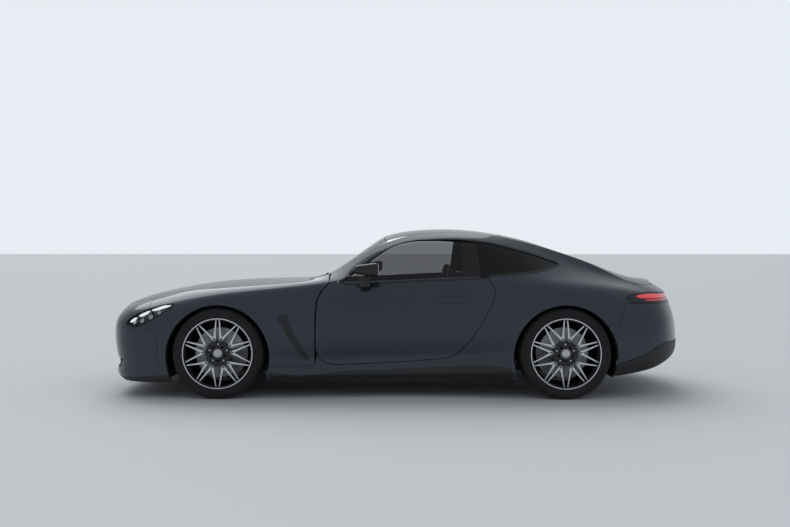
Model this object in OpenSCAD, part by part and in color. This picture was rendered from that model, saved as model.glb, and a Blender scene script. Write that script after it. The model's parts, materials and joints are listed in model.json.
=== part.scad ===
// Long-nosed two-door coupe, built as separate panels, glass, cabin pieces,
// running gear and wheels. X runs rearward, Y to the car's right, Z up.

/* [Overall size] */
// Distance from front axle to rear axle
wheelbase = 2700; // [2300:10:3300]
// Nose to front axle
front_overhang = 950; // [800:10:1150]
// Rear axle to tail
rear_overhang = 1078; // [900:10:1300]
// Width of the body without mirrors
body_width = 1984; // [1700:10:2400]
// Height of the body shape above the ground
body_height = 1350; // [1200:10:1620]

/* [Wheels] */
// Outside radius of the tyres
tyre_radius = 355; // [310:1:370]
// Section width of a front tyre
front_tyre_width = 295; // [245:1:315]
// Section width of a rear tyre
rear_tyre_width = 305; // [255:1:335]
// Radius of the rim's outer edge
rim_radius = 275; // [235:1:290]
// How far a front tyre's outer wall lies inside the body side
front_tyre_inset = 24; // [12:1:60]
// How far a rear tyre's outer wall lies inside the body side
rear_tyre_inset = 22; // [12:1:60]
// Number of V-shaped pairs of wheel arms
spoke_pairs = 10; // [5:1:12]
// Radius of the brake discs
disc_radius = 195; // [150:1:210]
// Gap between tyre and wheel arch at the top
arch_gap = 21; // [16:1:60]
// Radius of a wheel arch beyond the tyre radius
arch_margin = 48; // [40:1:80]

/* [Panels] */
// Thickness of fenders, bumpers and hood
panel_thick = 26; // [14:1:40]
// Thickness of body sides and pillars
side_thick = 58; // [40:1:80]
// Thickness of a door from skin to trim
door_thick = 104; // [80:1:125]
// Depth of a door's outer frame, before the inner step
door_skin = 40; // [20:1:60]
// Thickness of the roof with its lining
roof_thick = 34; // [20:1:50]
// Thickness of window glass
glass_thick = 6; // [4:0.5:10]
// Gap round doors, hood and tailgate
shut_gap = 7; // [6:0.5:10]
// Gap between fixed neighbours
seam = 0.4; // [0.2:0.1:0.8]

/* [Floor and cabin] */
// Thickness of floor, bulkheads and wheelhouses
sheet = 18; // [8:1:30]
// Height of the floor's underside
floor_height = 142; // [110:1:200]
// Half width of the centre tunnel
tunnel_half = 150; // [110:1:190]
// Height of the tunnel's top
tunnel_top = 400; // [320:1:480]
// Distance from the middle of the car to the middle of a front seat
seat_offset = 370; // [330:1:420]
// Diameter of the steering wheel
steering_wheel_d = 360; // [320:1:400]

/* [Hidden] */
$fn = 96;

// The car's own X starts at the front axle. The part's origin is under its middle.
middle_x = (wheelbase + rear_overhang - front_overhang) / 2;
half_width = body_width / 2;

// The tables below are drawn for one size and stretched to the sizes above.
drawn_front = 950;
drawn_base = 2700;
drawn_rear = 1078;
drawn_half = 992;
drawn_high = 1350;
function sx(x) = x < 0 ? x * front_overhang / drawn_front
  : x <= drawn_base ? x * wheelbase / drawn_base
  : wheelbase + (x - drawn_base) * rear_overhang / drawn_rear;
function sy(y) = y * half_width / drawn_half;
function sz(z) = z * body_height / drawn_high;
function outline(points) = [for (p = points) [sx(p[0]), sz(p[1])]];

// ---- smooth curve through [position, value ...] keys, without overshoot ----
function key_at(k, p, i = 0) = i >= len(k) - 2 || p < k[i + 1][0] ? i : key_at(k, p, i + 1);
function chord(k, n, j) = (k[n + 1][j] - k[n][j]) / (k[n + 1][0] - k[n][0]);
function mean_slope(a, b) = a * b <= 0 ? 0 : 2 * a * b / (a + b);
function key_slope(k, n, j) = n == 0 ? chord(k, 0, j)
  : n == len(k) - 1 ? chord(k, n - 1, j)
  : mean_slope(chord(k, n - 1, j), chord(k, n, j));
function between(k, i, t, j, h) = k[i][j] * (1 + 2 * t) * pow(1 - t, 2)
  + k[i + 1][j] * t * t * (3 - 2 * t)
  + key_slope(k, i, j) * h * t * pow(1 - t, 2)
  - key_slope(k, i + 1, j) * h * t * t * (1 - t);
function along(k, p, j = 1) = p <= k[0][0] ? k[0][j]
  : p >= k[len(k) - 1][0] ? k[len(k) - 1][j]
  : let (i = key_at(k, p), h = k[i + 1][0] - k[i][0]) between(k, i, (p - k[i][0]) / h, j, h);

// ---- table of offsets ----
// Stations: 0 to 1 round the nose, 1 front axle, 2 rear axle, 2 to 3 round the tail.
STATIONS = concat([0, 0.22, 0.42, 0.57, 0.70, 0.85], [for (i = [0:9]) 1 + i / 9],
  [2.14, 2.27, 2.40, 2.53, 2.66, 2.83, 3]);
// Widest outline seen from above: station, x, y
PLAN = [[0, -962, 0], [.22, -955, 330], [.42, -905, 640], [.57, -790, 850], [.7, -560, 925],
  [.85, -300, 960], [1, 0, 972], [1.111, 300, 966], [1.222, 600, 950], [1.333, 900, 938],
  [1.444, 1200, 932], [1.556, 1500, 932], [1.667, 1800, 940], [1.778, 2100, 957],
  [1.889, 2400, 982], [2, 2700, 993], [2.14, 2990, 985], [2.27, 3240, 953], [2.4, 3440, 893],
  [2.53, 3570, 775], [2.66, 3680, 560], [2.83, 3762, 290], [3, 3790, 0]];
// Lines along the body from the bottom up: station, inset from the widest outline, height
ROW_BOTTOM = [[0, 95, 130], [.42, 75, 128], [.7, 40, 125], [.85, 30, 130], [1, 30, 140],
  [1.25, 60, 137], [1.6, 62, 137], [1.9, 50, 150], [2, 40, 160], [2.14, 60, 165],
  [2.4, 75, 225], [2.66, 80, 262], [3, 80, 270]];
ROW_SILL = [[0, 30, 172], [.42, 10, 176], [.7, 12, 170], [1, 10, 180], [1.25, 22, 178],
  [1.6, 22, 185], [1.9, 15, 205], [2, 15, 220], [2.27, 18, 245], [2.5, 15, 290], [3, 15, 320]];
ROW_LEDGE = [[0, 50, 235], [.42, 34, 238], [.7, 14, 235], [1, 8, 240], [1.25, 32, 222],
  [1.6, 30, 248], [1.85, 22, 272], [2, 12, 290], [2.27, 8, 320], [2.5, 0, 370], [3, 0, 385]];
ROW_TUCK = [[0, 48, 300], [.42, 28, 305], [.7, 6, 320], [1, 3, 330], [1.25, 52, 300],
  [1.6, 56, 325], [1.8, 46, 345], [2, 6, 380], [2.27, 2, 400], [3, 0, 450]];
ROW_LOW = [[0, 20, 380], [.42, 8, 385], [.7, 0, 400], [1, 0, 420], [1.25, 22, 385],
  [1.6, 22, 415], [1.85, 14, 440], [2, 2, 470], [2.27, 2, 480], [3, 4, 515]];
ROW_WIDE = [[0, 0, 490], [.42, 0, 500], [.7, 0, 510], [1, 0, 530], [1.25, 0, 530],
  [1.6, 0, 550], [2, 0, 590], [2.27, 6, 580], [2.5, 10, 580], [3, 14, 580]];
ROW_CREASE = [[0, 6, 565], [.42, 6, 570], [.7, 6, 590], [1, 4, 650], [1.25, 6, 660],
  [1.6, 6, 685], [2, 4, 710], [2.27, 22, 670], [2.5, 28, 650], [3, 30, 650]];
ROW_UPPER = [[0, 10, 612], [.22, 14, 614], [.42, 26, 618], [.57, 40, 630], [.7, 52, 665],
  [.85, 36, 720], [1, 26, 765], [1.25, 30, 775], [1.6, 30, 795], [2, 28, 815],
  [2.27, 62, 770], [2.5, 55, 725], [3, 52, 720]];
ROW_SHOULDER = [[0, 16, 642], [.22, 26, 645], [.42, 56, 652], [.57, 90, 680], [.7, 120, 725],
  [.85, 100, 780], [1, 82, 826], [1.25, 66, 860], [1.45, 55, 895], [1.6, 58, 905],
  [1.8, 62, 905], [2, 92, 898], [2.27, 135, 850], [2.5, 90, 790], [3, 72, 786]];
ROW_WAIST = [[0, 22, 662], [.22, 40, 668], [.42, 100, 690], [.57, 160, 720], [.7, 195, 765],
  [.85, 165, 818], [1, 150, 856], [1.22, 120, 893], [1.35, 105, 925], [1.45, 100, 945],
  [1.6, 100, 955], [1.8, 118, 968], [1.9, 150, 980], [2, 210, 950], [2.14, 255, 918],
  [2.27, 265, 880], [2.4, 200, 845], [2.55, 110, 822], [3, 84, 818]];
ROW_GLASS = [[0, 28, 677], [.22, 54, 686], [.42, 145, 712], [.57, 225, 742], [.7, 250, 782],
  [.85, 205, 835], [1, 195, 863], [1.22, 160, 900], [1.35, 140, 945], [1.45, 160, 1020],
  [1.6, 182, 1095], [1.8, 205, 1100], [1.9, 245, 1065], [2, 310, 1005], [2.14, 350, 955],
  [2.27, 345, 910], [2.4, 270, 868], [2.55, 158, 846], [3, 112, 842]];
ROW_HEADER = [[0, 36, 690], [.22, 68, 700], [.42, 175, 726], [.57, 265, 755], [.7, 290, 790],
  [.85, 228, 842], [1, 218, 862], [1.22, 185, 902], [1.35, 180, 960], [1.45, 225, 1110],
  [1.556, 275, 1215], [1.667, 285, 1248], [1.778, 300, 1228], [1.9, 345, 1150], [2, 410, 1065],
  [2.14, 430, 1000], [2.27, 400, 940], [2.4, 320, 885], [2.55, 205, 862], [3, 130, 856]];
ROW_EDGE = [[0, 45, 700], [.22, 82, 711], [.42, 200, 738], [.57, 300, 766], [.7, 320, 797],
  [.85, 250, 846], [1, 240, 860], [1.22, 205, 900], [1.35, 205, 975], [1.45, 320, 1195],
  [1.556, 388, 1290], [1.667, 400, 1315], [1.778, 415, 1290], [1.9, 455, 1225], [2, 490, 1150],
  [2.14, 470, 1065], [2.27, 430, 968], [2.4, 350, 900], [2.55, 240, 876], [3, 152, 872]];
ROWS = [ROW_BOTTOM, ROW_SILL, ROW_LEDGE, ROW_TUCK, ROW_LOW, ROW_WIDE, ROW_CREASE, ROW_UPPER,
  ROW_SHOULDER, ROW_WAIST, ROW_GLASS, ROW_HEADER, ROW_EDGE];
// Height of the car's top along its middle: x, z
CENTRE = [[-905, 700], [-800, 748], [-640, 798], [-460, 839], [-300, 868], [-137, 888],
  [78, 905], [293, 913], [508, 914], [700, 905], [760, 918], [850, 978], [1061, 1128],
  [1200, 1226], [1290, 1279], [1368, 1303], [1471, 1323], [1625, 1338], [1779, 1342],
  [1933, 1337], [2087, 1323], [2241, 1299], [2446, 1254], [2754, 1152], [3062, 1049],
  [3216, 990], [3369, 940], [3440, 924], [3560, 912], [3626, 872]];

last_station = len(STATIONS) - 1;
last_row = len(ROWS) - 1;
axle_station = 6;            // number of the station at the front axle
station_pitch = 300;         // drawn distance between stations from axle to axle

BASE = [for (p = STATIONS) [along(PLAN, p, 1), along(PLAN, p, 2)]];
function base_at(k) = k < 0 ? [BASE[1][0], -BASE[1][1]]
  : k > last_station ? [BASE[last_station - 1][0], -BASE[last_station - 1][1]] : BASE[k];
function unit(v) = v / norm(v);
function plan_normal(k) = let (t = unit(base_at(k + 1) - base_at(k - 1))) [-t[1], t[0]];
NORMALS = [for (k = [0:last_station]) plan_normal(k)];
NET = [for (r = ROWS) [for (k = [0:last_station])
  let (q = BASE[k] - NORMALS[k] * along(r, STATIONS[k], 1),
       y = k == 0 || k == last_station ? 0 : q[1])
  [sx(q[0]), sy(y), sz(along(r, STATIONS[k], 2))]]];

// ---- the skin: a smooth cubic surface over the net, station u and line v ----
function mirrored(p) = [p[0], -p[1], p[2]];
function net_col(r, k) = k < 0 ? mirrored(NET[r][-k])
  : k > last_station ? mirrored(NET[r][2 * last_station - k]) : NET[r][k];
function net_at(r, k) = r < 0 ? 2 * net_col(0, k) - net_col(1, k)
  : r > last_row ? 2 * net_col(last_row, k) - net_col(last_row - 1, k) : net_col(r, k);
function weights(t) = [pow(1 - t, 3), 3 * pow(t, 3) - 6 * t * t + 4,
  -3 * pow(t, 3) + 3 * t * t + 3 * t + 1, pow(t, 3)] / 6;
function spline(p, w) = p[0] * w[0] + p[1] * w[1] + p[2] * w[2] + p[3] * w[3];
function skin(u, v) =
  let (i = min(floor(u), 2 * last_station), j = max(0, min(floor(v), last_row - 1)),
       wu = weights(u - i), wv = weights(v - j))
  spline([for (a = [-1:2]) spline([for (b = [-1:2]) net_at(j + a, i + b)], wu)], wv);

function steps(a, b, n) = [for (i = [0:n]) a + (b - a) * i / n];
// First index climbs the body, second runs rearward, so the grid faces outward
function skin_grid(u0, u1, nu, v0, v1, nv) =
  [for (v = steps(v0, v1, nv)) [for (u = steps(u0, u1, nu)) skin(u, v)]];
function grid_normal(g, i, j) =
  let (n = len(g) - 1, m = len(g[0]) - 1)
  unit(cross(g[min(i + 1, n)][j] - g[max(i - 1, 0)][j], g[i][min(j + 1, m)] - g[i][max(j - 1, 0)]));
function sunk(g, d) = [for (i = [0:len(g) - 1]) [for (j = [0:len(g[0]) - 1])
  g[i][j] - d * grid_normal(g, i, j)]];

// ---- the top: between the two edge curves, crowned across ----
EDGE = [for (u = steps(0, last_station, 110)) skin(u, last_row)];
EDGE_Y = [for (e = EDGE) [e[0], e[1]]];
EDGE_Z = [for (e = EDGE) [e[0], e[2]]];
CENTRE_LINE = [for (c = CENTRE) [sx(c[0]), sz(c[1])]];
function top(x, t) = let (ze = lookup(x, EDGE_Z), zc = along(CENTRE_LINE, x))
  [x, t * lookup(x, EDGE_Y), zc - (zc - ze) * (0.55 * t * t + 0.45 * pow(t, 4))];
// Half width of a top panel that stops a gap short of the edge curve
function tuck(x, gap) = 1 - gap / max(lookup(x, EDGE_Y), 4 * gap);
// Front and rear borders bow with the square of t: [x in the middle, x added at the edge]
function top_grid(front, rear, gap, nx, nt) =
  [for (i = [0:nx]) [for (j = [0:nt])
    let (s = -1 + 2 * j / nt, w = i / nx,
         x = (front[0] + front[1] * s * s) * (1 - w) + (rear[0] + rear[1] * s * s) * w)
    top(x, s * tuck(x, gap))]];

// ---- a closed slab between an outer and an inner grid ----
module slab(a, b) {
  n = len(a);
  m = len(a[0]);
  o = n * m;
  function id(i, j) = i * m + j;
  outer = [for (i = [0:n - 2], j = [0:m - 2]) each [
    [id(i, j), id(i + 1, j + 1), id(i + 1, j)], [id(i, j), id(i, j + 1), id(i + 1, j + 1)]]];
  inner = [for (f = outer) [f[2] + o, f[1] + o, f[0] + o]];
  low = [for (i = [0:n - 2]) each [[id(i, 0), id(i + 1, 0), id(i + 1, 0) + o],
    [id(i, 0), id(i + 1, 0) + o, id(i, 0) + o]]];
  high = [for (i = [0:n - 2]) each [[id(i, m - 1), id(i + 1, m - 1) + o, id(i + 1, m - 1)],
    [id(i, m - 1), id(i, m - 1) + o, id(i + 1, m - 1) + o]]];
  first = [for (j = [0:m - 2]) each [[id(0, j + 1), id(0, j), id(0, j) + o],
    [id(0, j + 1), id(0, j) + o, id(0, j + 1) + o]]];
  last = [for (j = [0:m - 2]) each [[id(n - 1, j), id(n - 1, j + 1), id(n - 1, j + 1) + o],
    [id(n - 1, j), id(n - 1, j + 1) + o, id(n - 1, j) + o]]];
  polyhedron(points = concat([for (r = a) each r], [for (r = b) each r]),
    faces = concat(outer, inner, low, high, first, last), convexity = 8);
}
module skin_slab(u0, u1, nu, v0, v1, nv, d0, d1) {
  g = skin_grid(u0, u1, nu, v0, v1, nv);
  slab(d0 == 0 ? g : sunk(g, d0), sunk(g, d1));
}
module top_slab(front, rear, gap, nx, nt, d0, d1) {
  g = top_grid(front, rear, gap, nx, nt);
  slab(d0 == 0 ? g : sunk(g, d0), sunk(g, d1));
}
// Room for a lid or glass between the two edge curves, a depth below the surface
module top_room(front, rear, nx, depth) top_slab(front, rear, 0, nx, 14, -30, depth);
function station_at(x) = axle_station + x / station_pitch;   // drawn x between the axles

// ---- cuts along each direction ----
module side_cut(reach = 1400, from = 0) rotate([90, 0, 0]) translate([0, 0, -reach])
  linear_extrude(reach - from) children();
module through_cut() rotate([90, 0, 0]) translate([0, 0, -1400]) linear_extrude(2800) children();
module front_cut(from, to) translate([from, 0, 0]) rotate([90, 0, 90])
  linear_extrude(to - from) children();
module both_sides() {
  children();
  mirror([0, 1, 0]) children();
}
module left() mirror([0, 1, 0]) children();
module placed() translate([-middle_x, 0, 0]) children();
module block(from, to) translate(from) cube(to - from);

// ---- sockets for the towing eyes: x, y, z of the inner end ----
tow_bore = 20;
rear_tow = [3020, 470, 238];

// ---- side view outlines, drawn x and height ----
DOOR = [[760, 262], [1183, 276], [1597, 300], [1804, 322], [1871, 358], [1959, 451], [2040, 575],
  [2114, 706], [2146, 780], [2156, 843], [2136, 900], [2085, 952], [1807, 944], [1390, 924],
  [1171, 914], [932, 908], [863, 900], [802, 831], [771, 758], [762, 624]];
WINDOW = [[945, 898], [1171, 904], [1390, 914], [1807, 934], [2085, 944], [2158, 969], [2323, 976],
  [2489, 991], [2621, 1018], [2709, 1041], [2681, 1063], [2602, 1086], [2512, 1120],
  [2343, 1165], [2142, 1215], [1927, 1240], [1766, 1248], [1605, 1246], [1498, 1235],
  [1391, 1208], [1283, 1150], [1176, 1076], [1015, 966]];
HEADLIGHT = [[-332, 738], [-392, 685], [-497, 622], [-624, 554], [-735, 566], [-722, 617],
  [-640, 662], [-540, 700], [-434, 735]];
TAILLIGHT = [[3171, 785], [3230, 748], [3380, 738], [3900, 738], [3900, 806], [3504, 813],
  [3380, 822], [3240, 812]];
// Where panel meets panel
BODY_SIDE = [[380, 60], [380, 256], [752, 256], [857, 903], [940, 1400], [4000, 1400], [4000, 742],
  [3168, 742], [3120, 600], [3070, 500], [2960, 430], [2960, 60]];
FENDER = [[380, 256], [752, 256], [752, 624], [763, 758], [794, 833], [857, 903], [840, 1100],
  [-560, 1100], [-560, 560], [-470, 470], [-470, 256]];
BUMPER_FRONT = [[-1100, 60], [-300, 60], [-300, 256], [-470, 256], [-470, 470], [-560, 560],
  [-560, 900], [-1100, 900]];
BUMPER_REAR = [[2960, 60], [2960, 430], [3070, 500], [3120, 600], [3168, 742], [3300, 742],
  [4000, 742], [4000, 60]];
DIFFUSER = [[3060, 60], [3060, 255], [3114, 275], [3294, 335], [3403, 390], [3501, 430],
  [4000, 440], [4000, 60]];
// Dividing line between door glass and quarter glass
glass_split = [[2062, 800], [2002, 1400]];
glass_split_gap = 8;

// ---- wheel places ----
front_y = sy(972) - front_tyre_inset - front_tyre_width / 2;
rear_y = sy(993) - rear_tyre_inset - rear_tyre_width / 2;
arch_radius = tyre_radius + arch_margin;
arch_z = tyre_radius + arch_gap - arch_margin;
module arch(x, from = 380) translate([x, from, arch_z]) rotate([-90, 0, 0])
  cylinder(r = arch_radius, h = 1400 - from, $fn = 128);

// ---- body sides: pillars, roof rail, quarter and sill in one piece ----
door_front = sx(762);
door_axis_behind = 125;       // door axis, behind the door's front edge
door_axis = [door_front + door_axis_behind, sy(922)];
door_step = 22;               // how far a door's inner part is stepped in from its outline
lower_tuck = 56;              // how far the lower door lies inside its widest line
swing = norm([door_axis_behind - door_step, door_thick + lower_tuck - sy(930) + door_axis[1]]);
pillar_y = door_axis[1] - swing - shut_gap;
pillar_depth = 62;
hinge_heights = [sz(505), sz(625)];
hinge_half = 12;              // half height of a hinge bracket
hinge_slot = 16;              // half height of the slot for it in the door
hinge_pin = 5;
hood_axis = [sx(870), sz(900)];
hood_pin_y = 654;             // middle of the hood's hinge arms
sill_top = sz(262) - 12;
tail_split = sy(620);
module body_side() {
  difference() {
    union() {
      intersection() {
        skin_slab(station_at(370), 22, 32, 0, 12, 16, 0, side_thick);
        side_cut() offset(delta = -seam / 2) polygon(outline(BODY_SIDE));
      }
      // inner sill
      block([sx(450), pillar_y - pillar_depth, floor_height + 4], [sx(2270), sy(872), sill_top]);
    }
    side_cut(from = 500) offset(delta = shut_gap) polygon(outline(DOOR));
    side_cut(from = 300) polygon(outline(WINDOW));
    arch(0);
    arch(wheelbase);
    side_cut(from = 400) offset(delta = seam) polygon(outline(TAILLIGHT));
    block([sx(3300), -10, 600], [sx(3900), tail_split, 1200]);
    cowl_room();
    screen_room();
    roof_room();
    hatch_room();
    // clear of the hood's hinge arm
    block([hood_axis[0] - 120, 0, hood_axis[1] - 110], [hood_axis[0] + 40, pillar_y - pillar_depth, hood_axis[1] + 17]);
  }
  hinge_pillar();
  door_hinges();
  hood_pivot();
  lock_pillar();
}
// Carries the door hinges, inboard of the door's swinging front edge
module hinge_pillar()
  block([sx(770), pillar_y - pillar_depth, sill_top - 1], [sx(888), pillar_y, sz(885)]);
module door_hinges() for (z = hinge_heights) {
  block([door_axis[0] - hinge_half, pillar_y - 1, z - hinge_half],
    [door_axis[0] + 9, door_axis[1], z + hinge_half]);
  translate([door_axis[0], door_axis[1], z - hinge_half]) cylinder(r = 9, h = 2 * hinge_half, $fn = 48);
  translate([door_axis[0], door_axis[1], z - hinge_slot - 14])
    cylinder(r = hinge_pin, h = 2 * hinge_slot + 28, $fn = 48);
}
module hood_pivot() {
  block([hood_axis[0] - 14, pillar_y - pillar_depth, sz(880)], [hood_axis[0] + 14, pillar_y, hood_axis[1] + 14]);
  translate([hood_axis[0], hood_pin_y - 14, hood_axis[1]]) rotate([-90, 0, 0])
    cylinder(r = 6, h = pillar_y - pillar_depth - hood_pin_y + 16, $fn = 48);
}
// Behind door glass and quarter glass, from the sill to the roof rail
module lock_pillar() difference() {
  lock_pillar_body();
  side_cut(from = 500) offset(delta = shut_gap) polygon(outline(DOOR));
  roof_room();
}
module lock_pillar_body() intersection() {
  skin_slab(station_at(1850), station_at(2200), 5, 8.5, 12, 8, glass_depth + glass_thick + 14,
    side_thick + 6);
  side_cut() polygon(outline([[2015, 930], [2140, 930], [2060, 1300], [1960, 1300]]));
}
module body_side_right() color("dimgray") placed() body_side();
module body_side_left() color("dimgray") placed() left() body_side();

// ---- fenders ----
module fender() difference() {
  intersection() {
    skin_slab(3, station_at(900), 14, 1.5, 12, 14, 0, panel_thick);
    side_cut() offset(delta = -seam / 2) polygon(outline(FENDER));
  }
  arch(0);
  side_cut() offset(delta = seam / 2) polygon(outline(HEADLIGHT));
  side_cut() offset(delta = shut_gap) polygon(outline(DOOR));
  hood_room();
  cowl_room();
}
module fender_right() color("slategray") placed() fender();
module fender_left() color("slategray") placed() left() fender();

// ---- front end ----
GRILLE = [[-330, 330], [330, 330], [400, 545], [330, 585], [-330, 585], [-400, 545]];
LOWER_INTAKE = [[-420, 195], [420, 195], [380, 285], [-380, 285]];
SIDE_INTAKE = [[480, 225], [760, 225], [800, 300], [520, 320]];
module intakes(grow = 0) {
  offset(delta = grow) polygon([for (p = GRILLE) [sy(p[0]), sz(p[1])]]);
  offset(delta = grow) polygon([for (p = LOWER_INTAKE) [sy(p[0]), sz(p[1])]]);
  for (s = [-1, 1]) offset(delta = grow) polygon([for (p = SIDE_INTAKE) [s * sy(p[0]), sz(p[1])]]);
}
module front_bumper() color("slategray") placed() difference() {
  intersection() {
    skin_slab(-17 / 3, 17 / 3, 34, 0, 12, 15, 0, panel_thick);
    through_cut() offset(delta = -seam / 2) polygon(outline(BUMPER_FRONT));
  }
  both_sides() arch(0);
  both_sides() side_cut() offset(delta = seam / 2) polygon(outline(HEADLIGHT));
  front_cut(-1300, sx(-600)) intakes();
  hood_room();
}
module front_grille() color("black") placed() difference() {
  intersection() {
    skin_slab(-10 / 3, 10 / 3, 20, 0.8, 8.8, 10, panel_thick + 0.3, panel_thick + 14);
    front_cut(-1300, sx(-500)) intakes(grow = 16);
  }
}

// ---- rear end ----
module lamp_zone(gap) both_sides() side_cut(from = sy(400)) offset(delta = gap)
  polygon(outline(TAILLIGHT));
module rear_bumper() color("slategray") placed() difference() {
  intersection() {
    skin_slab(15.7, 28.3, 38, 0, 12, 14, 0, panel_thick);
    union() {
      through_cut() offset(delta = -seam / 2) polygon(outline(BUMPER_REAR));
      block([sx(3300), seam - tail_split, 700], [sx(3900), tail_split - seam, 1200]);
    }
  }
  both_sides() arch(wheelbase);
  through_cut() offset(delta = seam) polygon(outline(DIFFUSER));
  lamp_zone(seam);
  hatch_room();
}
module rear_diffuser() color("black") placed() difference() {
  intersection() {
    skin_slab(15.9, 28.1, 34, 0, 6, 7, 0, panel_thick + 10);
    through_cut() offset(delta = -seam) polygon(outline(DIFFUSER));
  }
  both_sides() arch(wheelbase);
  tow_hole(rear_tow, 1);
}

// ---- hood, cowl, windscreen, roof and tailgate ----
// Borders of the top panels: x in the middle, x added at the edges
hood_front = [-888, 0];
hood_rear = [640, 120];
hood_thick = 30;
screen_front = [738, 120];
screen_rear = [1275, 35];
roof_rear = [2224, 8];
hatch_axis = [sx(2150), sz(1262)];
hatch_radius = 88;            // the tailgate's front edge swings at this radius
hatch_arm_y = 300;
HATCH_ARM = [[0, 0], [6, -52], [26, -80], [52, -82], [86, -62], [101, -32], [104, -4]];
hatch_gap = shut_gap + 2;
hatch_rear = [3600, -90];
glass_depth = 6;
rear_glass_span = [2300, 3180];
rear_glass_margin = 62;
function border(b, gap = 0) = [sx(b[0]) + gap, b[1]];
hood_steps = 22;
screen_steps = 10;
roof_steps = 12;
hatch_steps = 18;
cowl_depth = [7.2, 44];
cowl_lap = 20;                // how far the cowl reaches under the windscreen
// The nose corner seen from above, half of it, under the hood's front edge
NOSE = concat([[sx(hood_front[0]) - shut_gap, lookup(sx(hood_front[0]), EDGE_Y) + shut_gap]],
  [for (x = steps(sx(hood_front[0]), sx(-700), 24)) [x, lookup(x, EDGE_Y) + 0.5]]);
module hood_room() {
  top_room(border(hood_front), border(hood_rear, shut_gap), 2 * hood_steps, hood_thick + 24);
  top_room(border(hood_front, -shut_gap), border(hood_front, 40), 4, hood_thick + 24);
  translate([0, 0, sz(655)]) linear_extrude(125) polygon(concat(NOSE, [for (i = [len(NOSE) - 1:-1:0]) [NOSE[i][0], -NOSE[i][1]]]));
}
module cowl_room() top_room(border(hood_rear, shut_gap), border(screen_front), 4, cowl_depth[1] + seam);
module screen_room() top_room(border(screen_front), border(screen_rear), screen_steps, glass_thick + seam);
module roof_room() top_room(border(screen_rear), border(roof_rear), roof_steps, roof_thick + seam);
module hatch_room() top_room(border(roof_rear), border(hatch_rear, shut_gap), 2 * hatch_steps,
  roof_thick + shut_gap);
// A flat strap along a line of points, seen from the side
module strap(points, width, from, to) rotate([90, 0, 0]) translate([0, 0, -to]) linear_extrude(to - from)
  for (i = [0:len(points) - 1]) {
    translate(points[i]) circle(r = width / 2 + 1, $fn = 32);
    if (i > 0) {
      d = points[i] - points[i - 1];
      translate(points[i - 1]) rotate(atan2(d[1], d[0])) translate([0, -width / 2]) square([norm(d), width]);
    }
  }
HOOD_ARM = [[0, 0], [-60, -30], [-200, -10]];
// Seen from above, nothing of the hood reaches past its upper edge
HOOD_SIDES = [for (x = steps(sx(-920), sx(800), 86)) [x + shut_gap, lookup(x, EDGE_Y) - shut_gap - 1]];
module hood() color("slategray") placed() {
  intersection() {
    top_slab(border(hood_front, 3), border(hood_rear, -5), shut_gap + 1, hood_steps, 14, 0, hood_thick);
    linear_extrude(2000) polygon(concat(HOOD_SIDES,
      [for (i = [len(HOOD_SIDES) - 1:-1:0]) [HOOD_SIDES[i][0], -HOOD_SIDES[i][1]]]));
  }
  for (s = [-1, 1]) difference() {
    strap([for (p = HOOD_ARM) hood_axis + p], 20, s * hood_pin_y - 10, s * hood_pin_y + 10);
    translate([hood_axis[0], -800, hood_axis[1]]) rotate([-90, 0, 0]) cylinder(r = 6.3, h = 1600, $fn = 48);
  }
}
module cowl() color("black") placed() intersection() {
  top_slab(border(hood_rear, shut_gap), border(screen_front, cowl_lap), seam, 5, 14, cowl_depth[0], cowl_depth[1]);
  block([0, -hood_pin_y + 28, 0], [sx(1000), hood_pin_y - 28, 2000]);
}
module windscreen() color("lightblue", 0.5) placed()
  top_slab(border(screen_front), border(screen_rear), seam, screen_steps, 14, 0, glass_thick);
module roof_panel() color("black") placed() {
  top_slab(border(screen_rear, 1.6), border(roof_rear), seam, roof_steps, 14, 0, roof_thick);
  both_sides() {
    block([hatch_axis[0] - 14, hatch_arm_y + 10, hatch_axis[1] - 12],
      [hatch_axis[0] + 14, hatch_arm_y + 24, hatch_axis[1] + 14]);
    translate([hatch_axis[0], hatch_arm_y - 9, hatch_axis[1]]) rotate([-90, 0, 0])
      cylinder(r = 5, h = 20, $fn = 48);
  }
}
function hatch_hole(gap) = let (xs = steps(sx(rear_glass_span[0]) - gap, sx(rear_glass_span[1]) + gap, 8))
  concat([for (x = xs) [x, lookup(x, EDGE_Y) - rear_glass_margin + gap]],
    [for (i = [8:-1:0]) [xs[i], rear_glass_margin - gap - lookup(xs[i], EDGE_Y)]]);
module tailgate() color("slategray") placed() difference() {
  union() {
    difference() {
      top_slab(border(roof_rear, 2), border(hatch_rear), hatch_gap, hatch_steps, 14, 0, roof_thick);
      translate([hatch_axis[0], -800, hatch_axis[1]]) rotate([-90, 0, 0]) cylinder(r = hatch_radius, h = 1600);
    }
    for (s = [-1, 1]) strap([for (p = HATCH_ARM) hatch_axis + p], 16, s * hatch_arm_y - 7, s * hatch_arm_y + 7);
  }
  linear_extrude(2000) polygon(hatch_hole(seam));
  translate([hatch_axis[0], -800, hatch_axis[1]]) rotate([-90, 0, 0]) cylinder(r = 5.3, h = 1600, $fn = 48);
}
module rear_glass() color("lightblue", 0.5) placed() intersection() {
  top_slab([sx(2250), 0], [sx(3250), 0], 20, 12, 14, 0, glass_thick);
  linear_extrude(2000) polygon(hatch_hole(0));
}

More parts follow.
